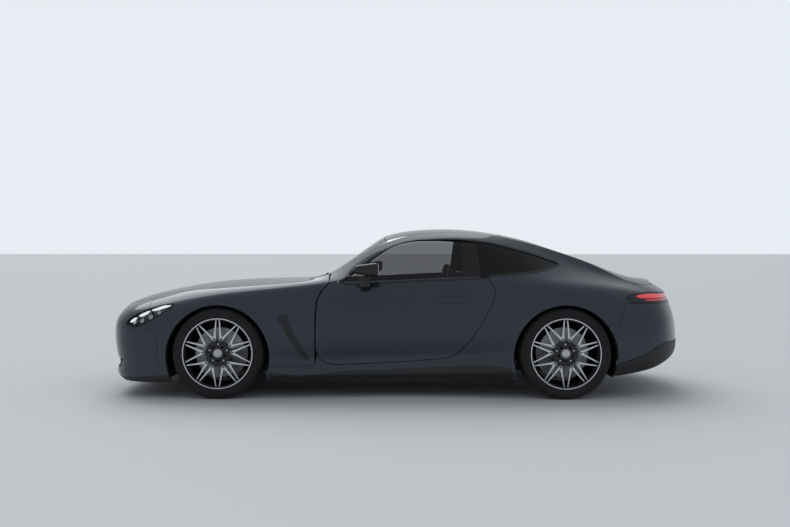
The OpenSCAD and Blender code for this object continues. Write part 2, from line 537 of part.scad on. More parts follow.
// ---- doors ----
function shifted(g, d) = [for (r = g) [for (p = r) [p[0], p[1] - d, p[2]]]];
module door_slab(d0, d1) {
  g = skin_grid(station_at(720), station_at(2200), 14, 1.2, 10.2, 14);
  slab(shifted(g, d0), shifted(g, d1));
}
module door() difference() {
  intersection() {
    door_slab(0, door_thick);
    side_cut() polygon(outline(DOOR));
  }
  difference() {
    door_slab(door_skin, door_thick + 20);
    side_cut() offset(delta = -door_step) polygon(outline(DOOR));
  }
  for (z = hinge_heights) {
    block([door_front - 20, 0, z - hinge_slot], [door_axis[0] + 20, door_axis[1] + 12, z + hinge_slot]);
    translate([door_axis[0], door_axis[1], z - 45]) cylinder(r = hinge_pin + 0.3, h = 90, $fn = 48);
  }
}
module door_right() color("slategray") placed() door();
module door_left() color("slategray") placed() left() door();
module glass_half(from_split, to_x) polygon([[sx(glass_split[0][0]) + from_split, 700],
  [to_x, 700], [to_x, 1700], [sx(glass_split[1][0]) + from_split, 1700]]);
module door_glass() intersection() {
  skin_slab(station_at(850), station_at(2150), 14, 8.6, 12, 8, glass_depth, glass_depth + glass_thick);
  side_cut() difference() {
    intersection() {
      offset(delta = -shut_gap) polygon(outline(WINDOW));
      glass_half(0, 0);
    }
    offset(delta = 0.3) polygon(outline(DOOR));
  }
}
module door_glass_right() color("lightblue", 0.5) placed() door_glass();
module door_glass_left() color("lightblue", 0.5) placed() left() door_glass();
module quarter_glass() color("black") placed() both_sides() intersection() {
  skin_slab(station_at(1950), 16.5, 12, 8.6, 12, 8, glass_depth, glass_depth + glass_thick);
  side_cut() difference() {
    intersection() {
      offset(delta = -seam) polygon(outline(WINDOW));
      glass_half(glass_split_gap, 6000);
    }
    offset(delta = shut_gap) polygon(outline(DOOR));
  }
}
mirror_at = [1130, 965, 990];
module mirror_body() {
  hull() for (p = [[-60, 20, 5], [45, 15, 25], [60, -5, -20], [-20, 0, -30]])
    translate([sx(mirror_at[0]) + p[0], sy(mirror_at[1]) + p[1] + 20, sz(mirror_at[2]) + p[2]])
      scale([1, 1.2, 0.9]) sphere(r = 36, $fn = 24);
  hull() {
    translate([sx(1150), sy(955), sz(940)]) sphere(r = 16, $fn = 16);
    translate([sx(1160), sy(885), sz(868)]) sphere(r = 16, $fn = 16);
  }
}
module mirror_cut() difference() {
  mirror_body();
  door_slab(-0.3, 300);
}
module mirror_right() color("black") placed() mirror_cut();
module mirror_left() color("black") placed() left() mirror_cut();

// ---- lamps ----
lamp_depth = 56;
module headlights() color("white") placed() both_sides() intersection() {
  skin_slab(1.8, 5.4, 12, 4, 11, 10, 0, lamp_depth);
  side_cut() offset(delta = -seam / 2) polygon(outline(HEADLIGHT));
}
module taillights() color("red") placed() both_sides() intersection() {
  skin_slab(16.3, 21.4, 14, 6, 11, 8, 0, lamp_depth);
  side_cut(from = sy(400) + seam) offset(delta = -seam) polygon(outline(TAILLIGHT));
}

// ---- floor, tunnel, bulkheads and wheelhouses ----
arm_low = 190;              // underside of the lower control arms
beam_top = arm_low + 58;
boot_floor = 450;
floor_half = pillar_y - pillar_depth - seam;
firewall_x = 470;
rail_y = 452;               // front wheelhouse wall, clear of a fully steered wheel
rear_wall_y = 560;
liner_thick = 12;
liner_radius = arch_radius + 8;
module wheelhouse(x, from, to, low) difference() {
  translate([x, from, arch_z]) rotate([-90, 0, 0])
    cylinder(r = liner_radius + liner_thick, h = to - from, $fn = 128);
  translate([x, from - 1, arch_z]) rotate([-90, 0, 0]) cylinder(r = liner_radius, h = to - from + 2, $fn = 128);
  block([x - 600, from - 2, -200], [x + 600, to + 2, low]);
}
module floor_tub() color("dimgray") placed() {
  difference() {
    union() {
      block([sx(firewall_x), -floor_half, floor_height], [sx(2300), floor_half, floor_height + sheet]);
      block([sx(firewall_x), -tunnel_half, floor_height], [sx(2300), tunnel_half, tunnel_top]);
      block([sx(firewall_x), -floor_half, floor_height], [sx(firewall_x) + sheet, floor_half, sz(800)]);
      block([sx(2282), -floor_half, floor_height], [sx(2282) + sheet, floor_half, sz(640)]);
    }
    block([sx(firewall_x) - 10, sheet - tunnel_half, floor_height - 5],
      [sx(2300) + 10, tunnel_half - sheet, tunnel_top - sheet]);
  }
  both_sides() {
    block([sx(-600), rail_y - sheet, beam_top + 0.3], [sx(firewall_x) + 2, rail_y, sz(740)]);
    wheelhouse(0, rail_y - 1, sy(890), 262);
    wheelhouse(wheelbase, rear_wall_y - 1, sy(880), 300);
    difference() {
      block([sx(2282), rear_wall_y - sheet, 300], [sx(3160), rear_wall_y, sz(780)]);
      // way through for the drive shaft
      translate([wheelbase, 0, tyre_radius]) rotate([-90, 0, 0]) cylinder(d = 120, h = 900, $fn = 64);
    }
    block([sx(3160) - 2, rear_wall_y - sheet, 420], [sx(3590), rear_wall_y, sz(640)]);
  }
  block([sx(2282), 1 - rear_wall_y, boot_floor], [sx(3590), rear_wall_y - 1, boot_floor + sheet]);
  block([sx(3590) - sheet, 1 - rear_wall_y, 420], [sx(3590), rear_wall_y - 1, sz(700)]);
}

// ---- subframes with control arms ----
module tow_socket(at, length, way) translate(at) rotate([0, 90 * way, 0]) difference() {
  cylinder(d = tow_bore + 16, h = length, $fn = 48);
  translate([0, 0, 30]) cylinder(d = tow_bore, h = length, $fn = 48);
}
module tow_hole(at, way) translate(at) rotate([0, 90 * way, 0]) cylinder(d = tow_bore + 30, h = 700, $fn = 48);
module control_arm(x, wheel_y, from, z) hull() {
  translate([x - 90, from, z]) cylinder(r = 26, h = 24, $fn = 24);
  translate([x + 90, from, z]) cylinder(r = 26, h = 24, $fn = 24);
  translate([x, wheel_y - 62, z]) cylinder(r = 22, h = 24, $fn = 24);
}
knuckle_low = arm_low + 24.3;
axle_tube = 565;              // how far the axle tubes reach from the middle
module front_subframe() color("dimgray") placed() {
  for (x = [-150, 110]) block([x, -410, arm_low], [x + 50, 410, arm_low + 55]);
  both_sides() {
    block([-620, 380, arm_low + 10], [330, rail_y, beam_top]);
    control_arm(0, front_y, 420, arm_low);
    block([-640, 395, arm_low + 20], [-610, rail_y - sheet - seam, 445]);
  }
  block([-640, -410, 400], [-600, 410, 445]);
  block([-640, -410, 180], [-600, 410, 235]);
  // radiator core
  block([-600, -360, 200], [-560, 360, 620]);
}
module rear_subframe() color("dimgray") placed() {
  difference() {
    union() {
      for (x = [-190, 140]) block([wheelbase + x, -500, arm_low + 20], [wheelbase + x + 50, 500, arm_low + 56]);
      both_sides() block([wheelbase - 330, 440, arm_low + 20], [wheelbase + 330, 500, arm_low + 70]);
      both_sides() control_arm(wheelbase, rear_y, 470, arm_low);
      // body mounts up to the boot floor
      both_sides() for (x = [-290, 290]) translate([wheelbase + x, 470, arm_low + 60])
        cylinder(r = 28, h = boot_floor - arm_low - 60.3, $fn = 32);
      // final drive and the tubes round its shafts
      block([wheelbase - 150, -140, arm_low + 22], [wheelbase + 150, 140, tyre_radius + 85]);
      translate([wheelbase, -axle_tube, tyre_radius]) rotate([-90, 0, 0])
        cylinder(d = 84, h = 2 * axle_tube, $fn = 48);
    }
    // sockets for the drive shafts
    translate([wheelbase, -700, tyre_radius]) rotate([-90, 0, 0]) cylinder(d = 62, h = 1400, $fn = 48);
  }
  tow_socket([wheelbase + 320, rear_tow[1], rear_tow[2]], 440, 1);
}

// ---- knuckles and brake calipers ----
hub_out = 42;               // hub face, outboard of the wheel's middle plane
disc_at = -6;               // inner face of the brake disc from the middle plane
disc_thick = 34;
knuckle_face = disc_at - 18;
module knuckle(caliper_angle) {
  difference() {
    union() {
      translate([0, 0, knuckle_face - 46]) cylinder(r = 62, h = 46, $fn = 64);
      translate([-34, -tyre_radius + knuckle_low, knuckle_face - 40])
        cube([68, tyre_radius - knuckle_low + 130, 26]);
    }
    translate([0, 0, knuckle_face - 60]) cylinder(r = 31, h = 80, $fn = 64);
  }
  rotate([0, 0, caliper_angle]) difference() {
    rotate([0, 0, -32]) rotate_extrude(angle = 64, $fn = 96)
      translate([disc_radius - 86, knuckle_face - 22]) square([112, disc_thick + 66]);
    translate([0, 0, disc_at - 6]) cylinder(r = disc_radius + 6, h = disc_thick + 12, $fn = 96);
    translate([0, 0, disc_at - 60]) cylinder(r = 64.5, h = 160, $fn = 96);
  }
  rotate([0, 0, caliper_angle]) translate([50, -30, knuckle_face - 22]) cube([disc_radius - 80, 60, 16]);
}
// A wheel's own frame: Z outboard, X forward or rearward, Y up
module at_wheel(x, y) translate([x, y, tyre_radius]) rotate([90, 0, 180]) children();
module knuckle_front_right() color("gray") placed() at_wheel(0, front_y) knuckle(200);
module knuckle_front_left() color("gray") placed() left() at_wheel(0, front_y) knuckle(200);
module rear_knuckles() color("gray") placed() both_sides() at_wheel(wheelbase, rear_y) knuckle(-20);

// ---- wheels ----
rim_wall = 9;
hub_radius = 74;
arm_depth = 26;
arm_width = 15;
apex_share = 0.38;          // where each V starts, as a share of the rim
// A straight arm seen along the axle, between two [radius, angle] places
module wheel_arm(inner, outer) {
  a = inner[0] * [cos(inner[1]), sin(inner[1])];
  b = outer[0] * [cos(outer[1]), sin(outer[1])];
  d = unit(b - a);
  n = [-d[1], d[0]] * arm_width / 2;
  polygon([a + n * 1.3, a - n * 1.3, b - n, b + n]);
}
module rim(width, shaft) {
  half = width / 2;
  rotate_extrude($fn = 128) polygon([[rim_radius - 15, half - 6], [rim_radius, half - 4],
    [rim_radius, half - 12], [rim_radius - 10, half - 18], [rim_radius - 12, 12 - half],
    [rim_radius, 10 - half], [rim_radius, 4 - half], [rim_radius - 22, 4 - half],
    [rim_radius - 12 - rim_wall, 30 - half], [rim_radius - 12 - rim_wall, half - 30],
    [rim_radius - 24, half - 12]]);
  translate([0, 0, half - 44]) linear_extrude(arm_depth)
    for (i = [0:spoke_pairs - 1]) rotate((i + 0.5) * 360 / spoke_pairs) for (s = [-1, 1])
      wheel_arm([rim_radius * apex_share, s * 5], [rim_radius - 16, s * (180 / spoke_pairs - 2.5)]);
  // hub bowl, centre and brake disc
  translate([0, 0, half - 47]) cylinder(r = rim_radius * apex_share + 12, h = arm_depth, $fn = 96);
  translate([0, 0, hub_out]) cylinder(r = hub_radius, h = half - 40 - hub_out, $fn = 96);
  translate([0, 0, disc_at + disc_thick - 1]) cylinder(r = 62, h = hub_out - disc_at - disc_thick + 2, $fn = 96);
  translate([0, 0, disc_at]) cylinder(r = disc_radius, h = disc_thick, $fn = 128);
  // stub through the bearing, and drive shaft where there is one
  translate([0, 0, disc_at - shaft]) cylinder(r = 30.6, h = shaft + 1, $fn = 64);
}
module tyre(width) {
  half = width / 2;
  bead = rim_radius - 9.6;
  rotate_extrude($fn = 160) polygon(concat(
    [[rim_radius + 0.3, half - 3], [rim_radius + 0.3, half - 13], [bead + 1, half - 19],
     [bead, 0], [bead + 1, 19 - half], [rim_radius + 0.3, 13 - half], [rim_radius + 0.3, 3 - half]],
    [for (a = [-90:15:0]) [tyre_radius - 30 + 30 * cos(a), 30 - half + 30 * sin(a)]],
    [for (a = [0:15:90]) [tyre_radius - 30 + 30 * cos(a), half - 30 + 30 * sin(a)]]));
}
front_stub = 60;
rear_shaft = rear_y - axle_tube + 45;
module wheel_front_right() color("silver") placed() at_wheel(0, front_y) rim(front_tyre_width, front_stub);
module wheel_front_left() color("silver") placed() left() at_wheel(0, front_y) rim(front_tyre_width, front_stub);
module wheel_rear_right() color("silver") placed() at_wheel(wheelbase, rear_y) rim(rear_tyre_width, rear_shaft);
module wheel_rear_left() color("silver") placed() left() at_wheel(wheelbase, rear_y) rim(rear_tyre_width, rear_shaft);
module tyre_front_right() color("black") placed() at_wheel(0, front_y) tyre(front_tyre_width);
module tyre_front_left() color("black") placed() left() at_wheel(0, front_y) tyre(front_tyre_width);
module tyre_rear_right() color("black") placed() at_wheel(wheelbase, rear_y) tyre(rear_tyre_width);
module tyre_rear_left() color("black") placed() left() at_wheel(wheelbase, rear_y) tyre(rear_tyre_width);

// ---- engine and exhaust ----
module engine_block() color("gray") placed() {
  block([-100, -230, arm_low + 55.3], [430, 230, 640]);
  translate([429, 0, 290]) rotate([0, 90, 0]) cylinder(d = 170, h = 620, $fn = 64);
  translate([1048, 0, 290]) rotate([0, 90, 0]) cylinder(d = 80, h = wheelbase - 150.3 - 1048, $fn = 48);
}
exhaust_d = 60;
exhaust_z = arm_low + 20 - 8 - exhaust_d / 2;
module exhaust_system() color("silver") placed() both_sides() {
  translate([500, 92, exhaust_z]) rotate([0, 90, 0]) cylinder(d = exhaust_d, h = 2700, $fn = 48);
  block([3190, 60, 170], [3470, 430, 330]);
  for (x = [3220, 3440]) translate([x, 240, 329]) cylinder(d = 16, h = boot_floor - 329.3, $fn = 24);
  for (y = [350, 395]) translate([3468, y, 265]) rotate([0, 90, 0]) difference() {
    cylinder(d = 40, h = 40, $fn = 48);
    translate([0, 0, 8]) cylinder(d = 34, h = 60, $fn = 48);
  }
}

// ---- cabin ----
module steering_place() translate([sx(1075), -seat_offset, sz(745)]) rotate([0, 66, 0]) children();
column_d = 60;
module dashboard() color("black") placed() difference() {
  dashboard_body();
  steering_place() translate([0, 0, -60]) cylinder(d = column_d + 0.6, h = 200, $fn = 48);
}
module dashboard_body() {
  hull() {
    for (y = [-1, 1]) translate([sx(830), y * (floor_half - 120), sz(790)]) sphere(r = 60, $fn = 24);
    for (y = [-1, 1]) translate([sx(950), y * (floor_half - 120), sz(800)]) sphere(r = 50, $fn = 24);
    for (y = [-1, 1]) translate([sx(1010), y * (floor_half - 120), sz(700)]) sphere(r = 60, $fn = 24);
    for (y = [-1, 1]) translate([sx(900), y * (floor_half - 120), sz(620)]) sphere(r = 60, $fn = 24);
  }
  for (y = [-1, 1]) translate([sx(900), y * (floor_half - 61), sz(700)]) rotate([-90 * y, 0, 0])
    cylinder(r = 40, h = 60.7, $fn = 32);
}
module steering_wheel() color("black") placed() steering_place() {
  translate([0, 0, 90]) rotate_extrude($fn = 96) translate([steering_wheel_d / 2 - 15, 0]) circle(r = 15, $fn = 32);
  translate([0, 0, 66]) cylinder(d = 130, h = 30, $fn = 64);
  translate([-14, -steering_wheel_d / 2 + 15, 82]) cube([28, steering_wheel_d - 30, 12]);
  translate([0, -14, 82]) cube([steering_wheel_d / 2 - 15, 28, 12]);
  translate([0, 0, -50]) cylinder(d = column_d, h = 120, $fn = 48);
}
module centre_console() color("black") placed() {
  block([sx(1100), -110, tunnel_top + 0.3], [sx(1900), 110, 520]);
  block([sx(960), -110, tunnel_top + 0.3], [sx(1102), 110, 560]);
}
seat_half = 205;
module seat(y) translate([0, y, 0]) {
  block([sx(1270), 60 - seat_half, floor_height + sheet + 0.3], [sx(1680), seat_half - 60, 262]);
  hull() for (p = [[1250, 400], [1250, 290], [1700, 380], [1700, 290]]) for (s = [-1, 1])
    translate([sx(p[0]), s * (seat_half - 45), p[1]]) sphere(r = 45, $fn = 16);
  hull() for (p = [[1700, 400], [1830, 880]]) for (s = [-1, 1])
    translate([sx(p[0]), s * (seat_half - 52), p[1]]) sphere(r = 52, $fn = 16);
  hull() for (p = [[1840, 930], [1860, 1020]]) for (s = [-1, 1])
    translate([sx(p[0]), s * 90, p[1]]) sphere(r = 42, $fn = 16);
}
module front_seats() color("black") placed() for (s = [-1, 1]) seat(s * seat_offset);
module rear_seats() color("black") placed() for (s = [-1, 1]) {
  block([sx(1990), s * 400 - 150, floor_height + sheet + 0.3], [sx(2160), s * 400 + 150, 290]);
  hull() for (p = [[1985, 300], [1985, 425], [2150, 300], [2150, 400]]) for (q = [-1, 1])
    translate([sx(p[0]), s * 400 + q * 150, p[1]]) sphere(r = 42, $fn = 16);
  hull() for (p = [[2185, 440], [2224, 790]]) for (q = [-1, 1])
    translate([sx(p[0]), s * 400 + q * 145, p[1]]) sphere(r = 50, $fn = 16);
}

floor_tub();
front_subframe();
rear_subframe();
engine_block();
exhaust_system();
body_side_left();
body_side_right();
fender_left();
fender_right();
front_bumper();
front_grille();
rear_bumper();
rear_diffuser();
hood();
cowl();
windscreen();
roof_panel();
tailgate();
rear_glass();
door_left();
door_right();
door_glass_left();
door_glass_right();
mirror_left();
mirror_right();
quarter_glass();
headlights();
taillights();
dashboard();
steering_wheel();
centre_console();
front_seats();
rear_seats();
knuckle_front_left();
knuckle_front_right();
rear_knuckles();
wheel_front_left();
wheel_front_right();
wheel_rear_left();
wheel_rear_right();
tyre_front_left();
tyre_front_right();
tyre_rear_left();
tyre_rear_right();
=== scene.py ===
# %% [markdown]
# # A long-nosed two-door coupe
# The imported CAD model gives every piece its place, its size and the body it moves with.
# This lesson gives the car its looks. The CAD panels are coarse, so most of them are made again
# on the same lines with a far finer skin, and the wheels, lamps, cabin and trim get their detail.

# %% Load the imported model
import json
import math

import bpy
import numpy as np
from mathutils import Matrix, Vector


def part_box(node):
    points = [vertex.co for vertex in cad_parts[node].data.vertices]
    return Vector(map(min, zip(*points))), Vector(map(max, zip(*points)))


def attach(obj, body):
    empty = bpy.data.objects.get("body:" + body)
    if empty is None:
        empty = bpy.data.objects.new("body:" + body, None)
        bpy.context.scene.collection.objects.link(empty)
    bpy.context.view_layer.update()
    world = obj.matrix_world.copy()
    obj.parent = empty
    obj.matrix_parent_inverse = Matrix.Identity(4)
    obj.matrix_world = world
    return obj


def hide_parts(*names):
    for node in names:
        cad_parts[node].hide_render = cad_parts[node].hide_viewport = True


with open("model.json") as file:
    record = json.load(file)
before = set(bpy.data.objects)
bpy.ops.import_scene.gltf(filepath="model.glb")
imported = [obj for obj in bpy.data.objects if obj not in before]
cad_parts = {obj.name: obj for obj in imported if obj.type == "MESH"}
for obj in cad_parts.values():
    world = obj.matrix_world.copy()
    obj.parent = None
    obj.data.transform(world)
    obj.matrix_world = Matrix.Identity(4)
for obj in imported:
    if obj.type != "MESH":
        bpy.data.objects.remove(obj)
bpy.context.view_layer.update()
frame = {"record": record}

# %% [markdown]
# ## Small helpers
# An operator works on whatever is selected, so each step starts by selecting one thing only.
# The helpers below keep that tidy: pick a piece, add and apply a modifier, join pieces, and work
# on chosen faces in edit mode.

# %% Selecting, applying and joining
def deselect():
    bpy.ops.object.select_all(action="DESELECT")


def use(piece):
    deselect()
    piece.select_set(True)
    bpy.context.view_layer.objects.active = piece
    return piece


def apply(piece, kind, **settings):
    use(piece)
    modifier = piece.modifiers.new(kind.title(), kind)
    for name, value in settings.items():
        setattr(modifier, name, value)
    bpy.ops.object.modifier_apply(modifier=modifier.name)
    return piece


def remove(*pieces):
    for piece in pieces:
        bpy.data.objects.remove(piece, do_unlink=True)


def join(name, pieces):
    deselect()
    for piece in pieces:
        piece.select_set(True)
    bpy.context.view_layer.objects.active = pieces[0]
    if len(pieces) > 1:
        bpy.ops.object.join()
    pieces[0].name = name
    pieces[0].data.name = name
    return pieces[0]


def settle(piece):
    """Puts the place into the mesh, so the object sits at the origin, unturned and unscaled."""
    use(piece)
    bpy.ops.object.transform_apply(location=True, rotation=True, scale=True)
    return piece


def edit(piece, keep=None, mode="FACE"):
    """Goes into edit mode with only the faces or points that keep() picks selected."""
    use(piece)
    mesh = piece.data
    mesh.polygons.foreach_set("select", [False] * len(mesh.polygons))
    mesh.edges.foreach_set("select", [False] * len(mesh.edges))
    mesh.vertices.foreach_set("select", [False] * len(mesh.vertices))
    if keep is not None:
        for item in mesh.polygons if mode == "FACE" else mesh.vertices:
            item.select = bool(keep(item))
    bpy.ops.object.mode_set(mode="EDIT")
    bpy.ops.mesh.select_mode(type=mode)
    if keep is None:
        bpy.ops.mesh.select_all(action="SELECT")


def leave():
    bpy.ops.object.mode_set(mode="OBJECT")


def smooth(piece, angle=35):
    use(piece)
    bpy.ops.object.shade_smooth_by_angle(angle=math.radians(angle))
    return piece


def paint(piece, *materials):
    piece.data.materials.clear()
    for material in materials:
        piece.data.materials.append(material)
    return piece


def twin(piece, name):
    """A copy on the car's other side, with its own mesh."""
    other = piece.copy()
    other.data = piece.data.copy()
    other.name = other.data.name = name
    bpy.context.scene.collection.objects.link(other)
    other.data.transform(Matrix.Scale(-1, 4, (0, 1, 0)))
    other.data.flip_normals()
    return other


def coords(piece):
    points = np.empty(len(piece.data.vertices) * 3)
    piece.data.vertices.foreach_get("co", points)
    return points.reshape(-1, 3)


def set_coords(piece, points):
    piece.data.vertices.foreach_set("co", np.asarray(points, float).ravel())
    piece.data.update()
    return piece


# %% [markdown]
# ## Materials
# Every finish shares one grain group, and what stands near the road shares a dust group, so each
# effect is built once and placed in each material with its own values.

# %% Node helpers
def new_material(name):
    material = bpy.data.materials.new(name)
    material.use_nodes = True
    nodes, links = material.node_tree.nodes, material.node_tree.links
    nodes.clear()
    out = nodes.new("ShaderNodeOutputMaterial")
    shader = nodes.new("ShaderNodeBsdfPrincipled")
    links.new(shader.outputs[0], out.inputs["Surface"])
    return material, shader, nodes, links


def new_group(name, inputs, outputs):
    group = bpy.data.node_groups.new(name, "ShaderNodeTree")
    for label, value in inputs.items():
        socket = group.interface.new_socket(label, in_out="INPUT", socket_type="NodeSocketFloat")
        socket.default_value = value
    for label, kind in outputs.items():
        group.interface.new_socket(label, in_out="OUTPUT", socket_type=kind)
    entry = group.nodes.new("NodeGroupInput")
    leaving = group.nodes.new("NodeGroupOutput")
    return group, entry, leaving


def place(nodes, group, **values):
    node = nodes.new("ShaderNodeGroup")
    node.node_tree = group
    for label, value in values.items():
        node.inputs[label].default_value = value
    return node


def math_node(tree, operation, a, b=None):
    node = tree.nodes.new("ShaderNodeMath")
    node.operation = operation
    for slot, value in ((0, a), (1, b)):
        if value is None:
            continue
        if isinstance(value, (int, float)):
            node.inputs[slot].default_value = value
        else:
            tree.links.new(value, node.inputs[slot])
    return node.outputs[0]


def dial(node, **values):
    """Sets plain values on a node; an underscore stands for a space."""
    for label, value in values.items():
        node.inputs[label.replace("_", " ")].default_value = value


def mixed(nodes, links, first, second, factor):
    """A colour between two, each a value or a socket. Gives the output socket."""
    mix = nodes.new("ShaderNodeMix")
    mix.data_type = "RGBA"
    for slot, value in ((6, first), (7, second)):
        if isinstance(value, bpy.types.NodeSocket):
            links.new(value, mix.inputs[slot])
        else:
            mix.inputs[slot].default_value = (*value, 1)
    links.new(factor, mix.inputs["Factor"])
    return mix.outputs[2]


def shaded(colour, by):
    return [min(c * by, 1) for c in colour]


def bumped(nodes, links, shader, height, distance, strength):
    bump = nodes.new("ShaderNodeBump")
    dial(bump, Distance=distance, Strength=strength)
    links.new(height, bump.inputs["Height"])
    links.new(bump.outputs[0], shader.inputs["Normal"])


def cells(nodes, links, scale):
    """Voronoi cells in the car's own coordinates."""
    where = nodes.new("ShaderNodeTexCoord")
    texture = nodes.new("ShaderNodeTexVoronoi")
    texture.inputs["Scale"].default_value = scale
    links.new(where.outputs["Object"], texture.inputs["Vector"])
    return texture


# %% Shared effects: grain and dust
def make_grain():
    """Fine pebbled grain with slow blotches. Puts out a height and a mask from 0 to 1."""
    group, entry, leaving = new_group(
        "grain", {"Size": 400.0, "Blotch": 6.0}, {"Height": "NodeSocketFloat", "Mask": "NodeSocketFloat"})
    place_of = group.nodes.new("ShaderNodeTexCoord")
    cells = group.nodes.new("ShaderNodeTexVoronoi")
    cells.feature = "SMOOTH_F1"
    blotch = group.nodes.new("ShaderNodeTexNoise")
    blotch.inputs["Detail"].default_value = 4
    for node, size in ((cells, "Size"), (blotch, "Blotch")):
        group.links.new(place_of.outputs["Object"], node.inputs["Vector"])
        group.links.new(entry.outputs[size], node.inputs["Scale"])
    group.links.new(cells.outputs["Distance"], leaving.inputs["Height"])
    group.links.new(blotch.outputs["Fac"], leaving.inputs["Mask"])
    return group


def make_dust():
    """Road dust that gathers low on the car. Puts out a mask from 0 to 1."""
    group, entry, leaving = new_group(
        "dust", {"Top": 0.5, "Patch": 9.0}, {"Mask": "NodeSocketFloat"})
    place_of = group.nodes.new("ShaderNodeTexCoord")
    apart = group.nodes.new("ShaderNodeSeparateXYZ")
    patch = group.nodes.new("ShaderNodeTexNoise")
    patch.inputs["Detail"].default_value = 6
    group.links.new(place_of.outputs["Object"], apart.inputs[0])
    group.links.new(place_of.outputs["Object"], patch.inputs["Vector"])
    group.links.new(entry.outputs["Patch"], patch.inputs["Scale"])
    height = math_node(group, "DIVIDE", apart.outputs["Z"], entry.outputs["Top"])
    low = math_node(group, "SUBTRACT", 1.0, height)
    mask = math_node(group, "MULTIPLY", low, patch.outputs["Fac"])
    mask.node.use_clamp = True
    group.links.new(mask, leaving.inputs["Mask"])
    return group


GRAIN = make_grain()
DUST = make_dust()
ROAD_DUST = (0.23, 0.21, 0.18)


# %% Plain finishes with grain
def finish(name, colour, rough, metal=0.0, size=400.0, depth=0.0, spread=0.25, blotch=6.0, dust=0.0,
           coat=0.0, coat_rough=0.05, sheen=0.0):
    """A solid finish: its colour and gloss wander by spread, and grain gives it bump."""
    material, shader, nodes, links = new_material(name)
    dial(shader, Metallic=metal, Coat_Weight=coat, Coat_Roughness=coat_rough, Sheen_Weight=sheen)
    grain = place(nodes, GRAIN, Size=size, Blotch=blotch)
    shade = mixed(nodes, links, shaded(colour, 1 - spread), shaded(colour, 1 + spread), grain.outputs["Mask"])
    if dust:
        dirt = place(nodes, DUST)
        amount = math_node(material.node_tree, "MULTIPLY", dirt.outputs["Mask"], dust)
        shade = mixed(nodes, links, shade, ROAD_DUST, amount)
    links.new(shade, shader.inputs["Base Color"])
    gloss = nodes.new("ShaderNodeMapRange")
    dial(gloss, To_Min=max(rough * (1 - spread), 0.02), To_Max=min(rough * (1 + spread), 1))
    links.new(grain.outputs["Mask"], gloss.inputs["Value"])
    links.new(gloss.outputs[0], shader.inputs["Roughness"])
    if depth:
        bumped(nodes, links, shader, grain.outputs["Height"], depth, 0.5)
    return material


FINISHES = {
    "inner_paint": dict(colour=(0.030, 0.034, 0.040), rough=0.45, metal=0.2, spread=0.15, dust=0.5),
    "gloss_black": dict(colour=(0.004, 0.004, 0.005), rough=0.16, coat=0.1, spread=0.1),
    "black_plastic": dict(colour=(0.009, 0.009, 0.010), rough=0.5, size=700, depth=0.0002, dust=0.06),
    "cabin_plastic": dict(colour=(0.016, 0.016, 0.017), rough=0.55, size=900, depth=0.0002),
    "leather": dict(colour=(0.020, 0.019, 0.018), rough=0.42, size=450, depth=0.0004, sheen=0.05),
    "floor_metal": dict(colour=(0.018, 0.018, 0.019), rough=0.6, metal=0.3, depth=0.0002, size=250, dust=0.6),
    "cast_metal": dict(colour=(0.17, 0.17, 0.175), rough=0.55, metal=0.8, size=350, depth=0.0004, dust=0.3),
    "engine_metal": dict(colour=(0.30, 0.30, 0.31), rough=0.45, metal=0.9, size=300, depth=0.0003),
    "rubber": dict(colour=(0.007, 0.007, 0.008), rough=0.78, size=500, depth=0.0002, dust=0.04),
    "satin_silver": dict(colour=(0.52, 0.53, 0.55), rough=0.28, metal=1.0, spread=0.12),
    "pocket": dict(colour=(0.045, 0.047, 0.052), rough=0.4, metal=0.7, spread=0.2, dust=0.1),
    "disc_steel": dict(colour=(0.30, 0.31, 0.33), rough=0.38, metal=0.9, spread=0.2),
    "reflector": dict(colour=(0.55, 0.56, 0.58), rough=0.12, metal=1.0, spread=0.1),
}
M = {name: finish(name, **values) for name, values in FINISHES.items()}
print("finishes", len(M))

# %% [markdown]
# ## Paint, glass, wheel and lamp materials
# The paint's flakes are tiny cells that each lean their own way, so the metal under the clear
# coat glitters softly and never mirrors. Glass is a thin sheet: a dark tint that lets most light by.

# %% Body paint and roof glass
FLAKE_DARK, FLAKE_BRIGHT = (0.012, 0.019, 0.030), (0.036, 0.050, 0.071)
PAINT_DUST, DUST_TOP, DUST_SHARE = (0.20, 0.19, 0.17), 0.42, 0.06


def make_paint():
    material, shader, nodes, links = new_material("body_paint")
    flakes = cells(nodes, links, 1100)
    bumped(nodes, links, shader, flakes.outputs["Color"], 0.00006, 0.35)
    glitter = mixed(nodes, links, FLAKE_DARK, FLAKE_BRIGHT, flakes.outputs["Distance"])
    dirt = place(nodes, DUST, Top=DUST_TOP)
    amount = math_node(material.node_tree, "MULTIPLY", dirt.outputs["Mask"], DUST_SHARE)
    links.new(mixed(nodes, links, glitter, PAINT_DUST, amount), shader.inputs["Base Color"])
    dial(shader, Metallic=0.75, Roughness=0.36, Coat_Weight=0.75, Coat_Roughness=0.03)
    return material


def make_roof_glass():
    """Dark, with a faint blue print of dots."""
    material, shader, nodes, links = new_material("roof_glass")
    ramp = nodes.new("ShaderNodeValToRGB")
    ramp.color_ramp.elements[0].color = (0.012, 0.016, 0.024, 1)
    ramp.color_ramp.elements[1].color = (0.006, 0.007, 0.009, 1)
    links.new(cells(nodes, links, 500).outputs["Distance"], ramp.inputs["Fac"])
    links.new(ramp.outputs[0], shader.inputs["Base Color"])
    dial(shader, Roughness=0.06, Coat_Weight=1.0)
    return material


# %% Glass, turned metal and lamps
def tinted(name, colour, dark, size, blotch):
    """A material whose colour wanders from a darker tint to the colour itself."""
    material, shader, nodes, links = new_material(name)
    grain = place(nodes, GRAIN, Size=size, Blotch=blotch)
    tint = mixed(nodes, links, shaded(colour, dark), colour, grain.outputs["Mask"])
    links.new(tint, shader.inputs["Base Color"])
    return material, shader, tint


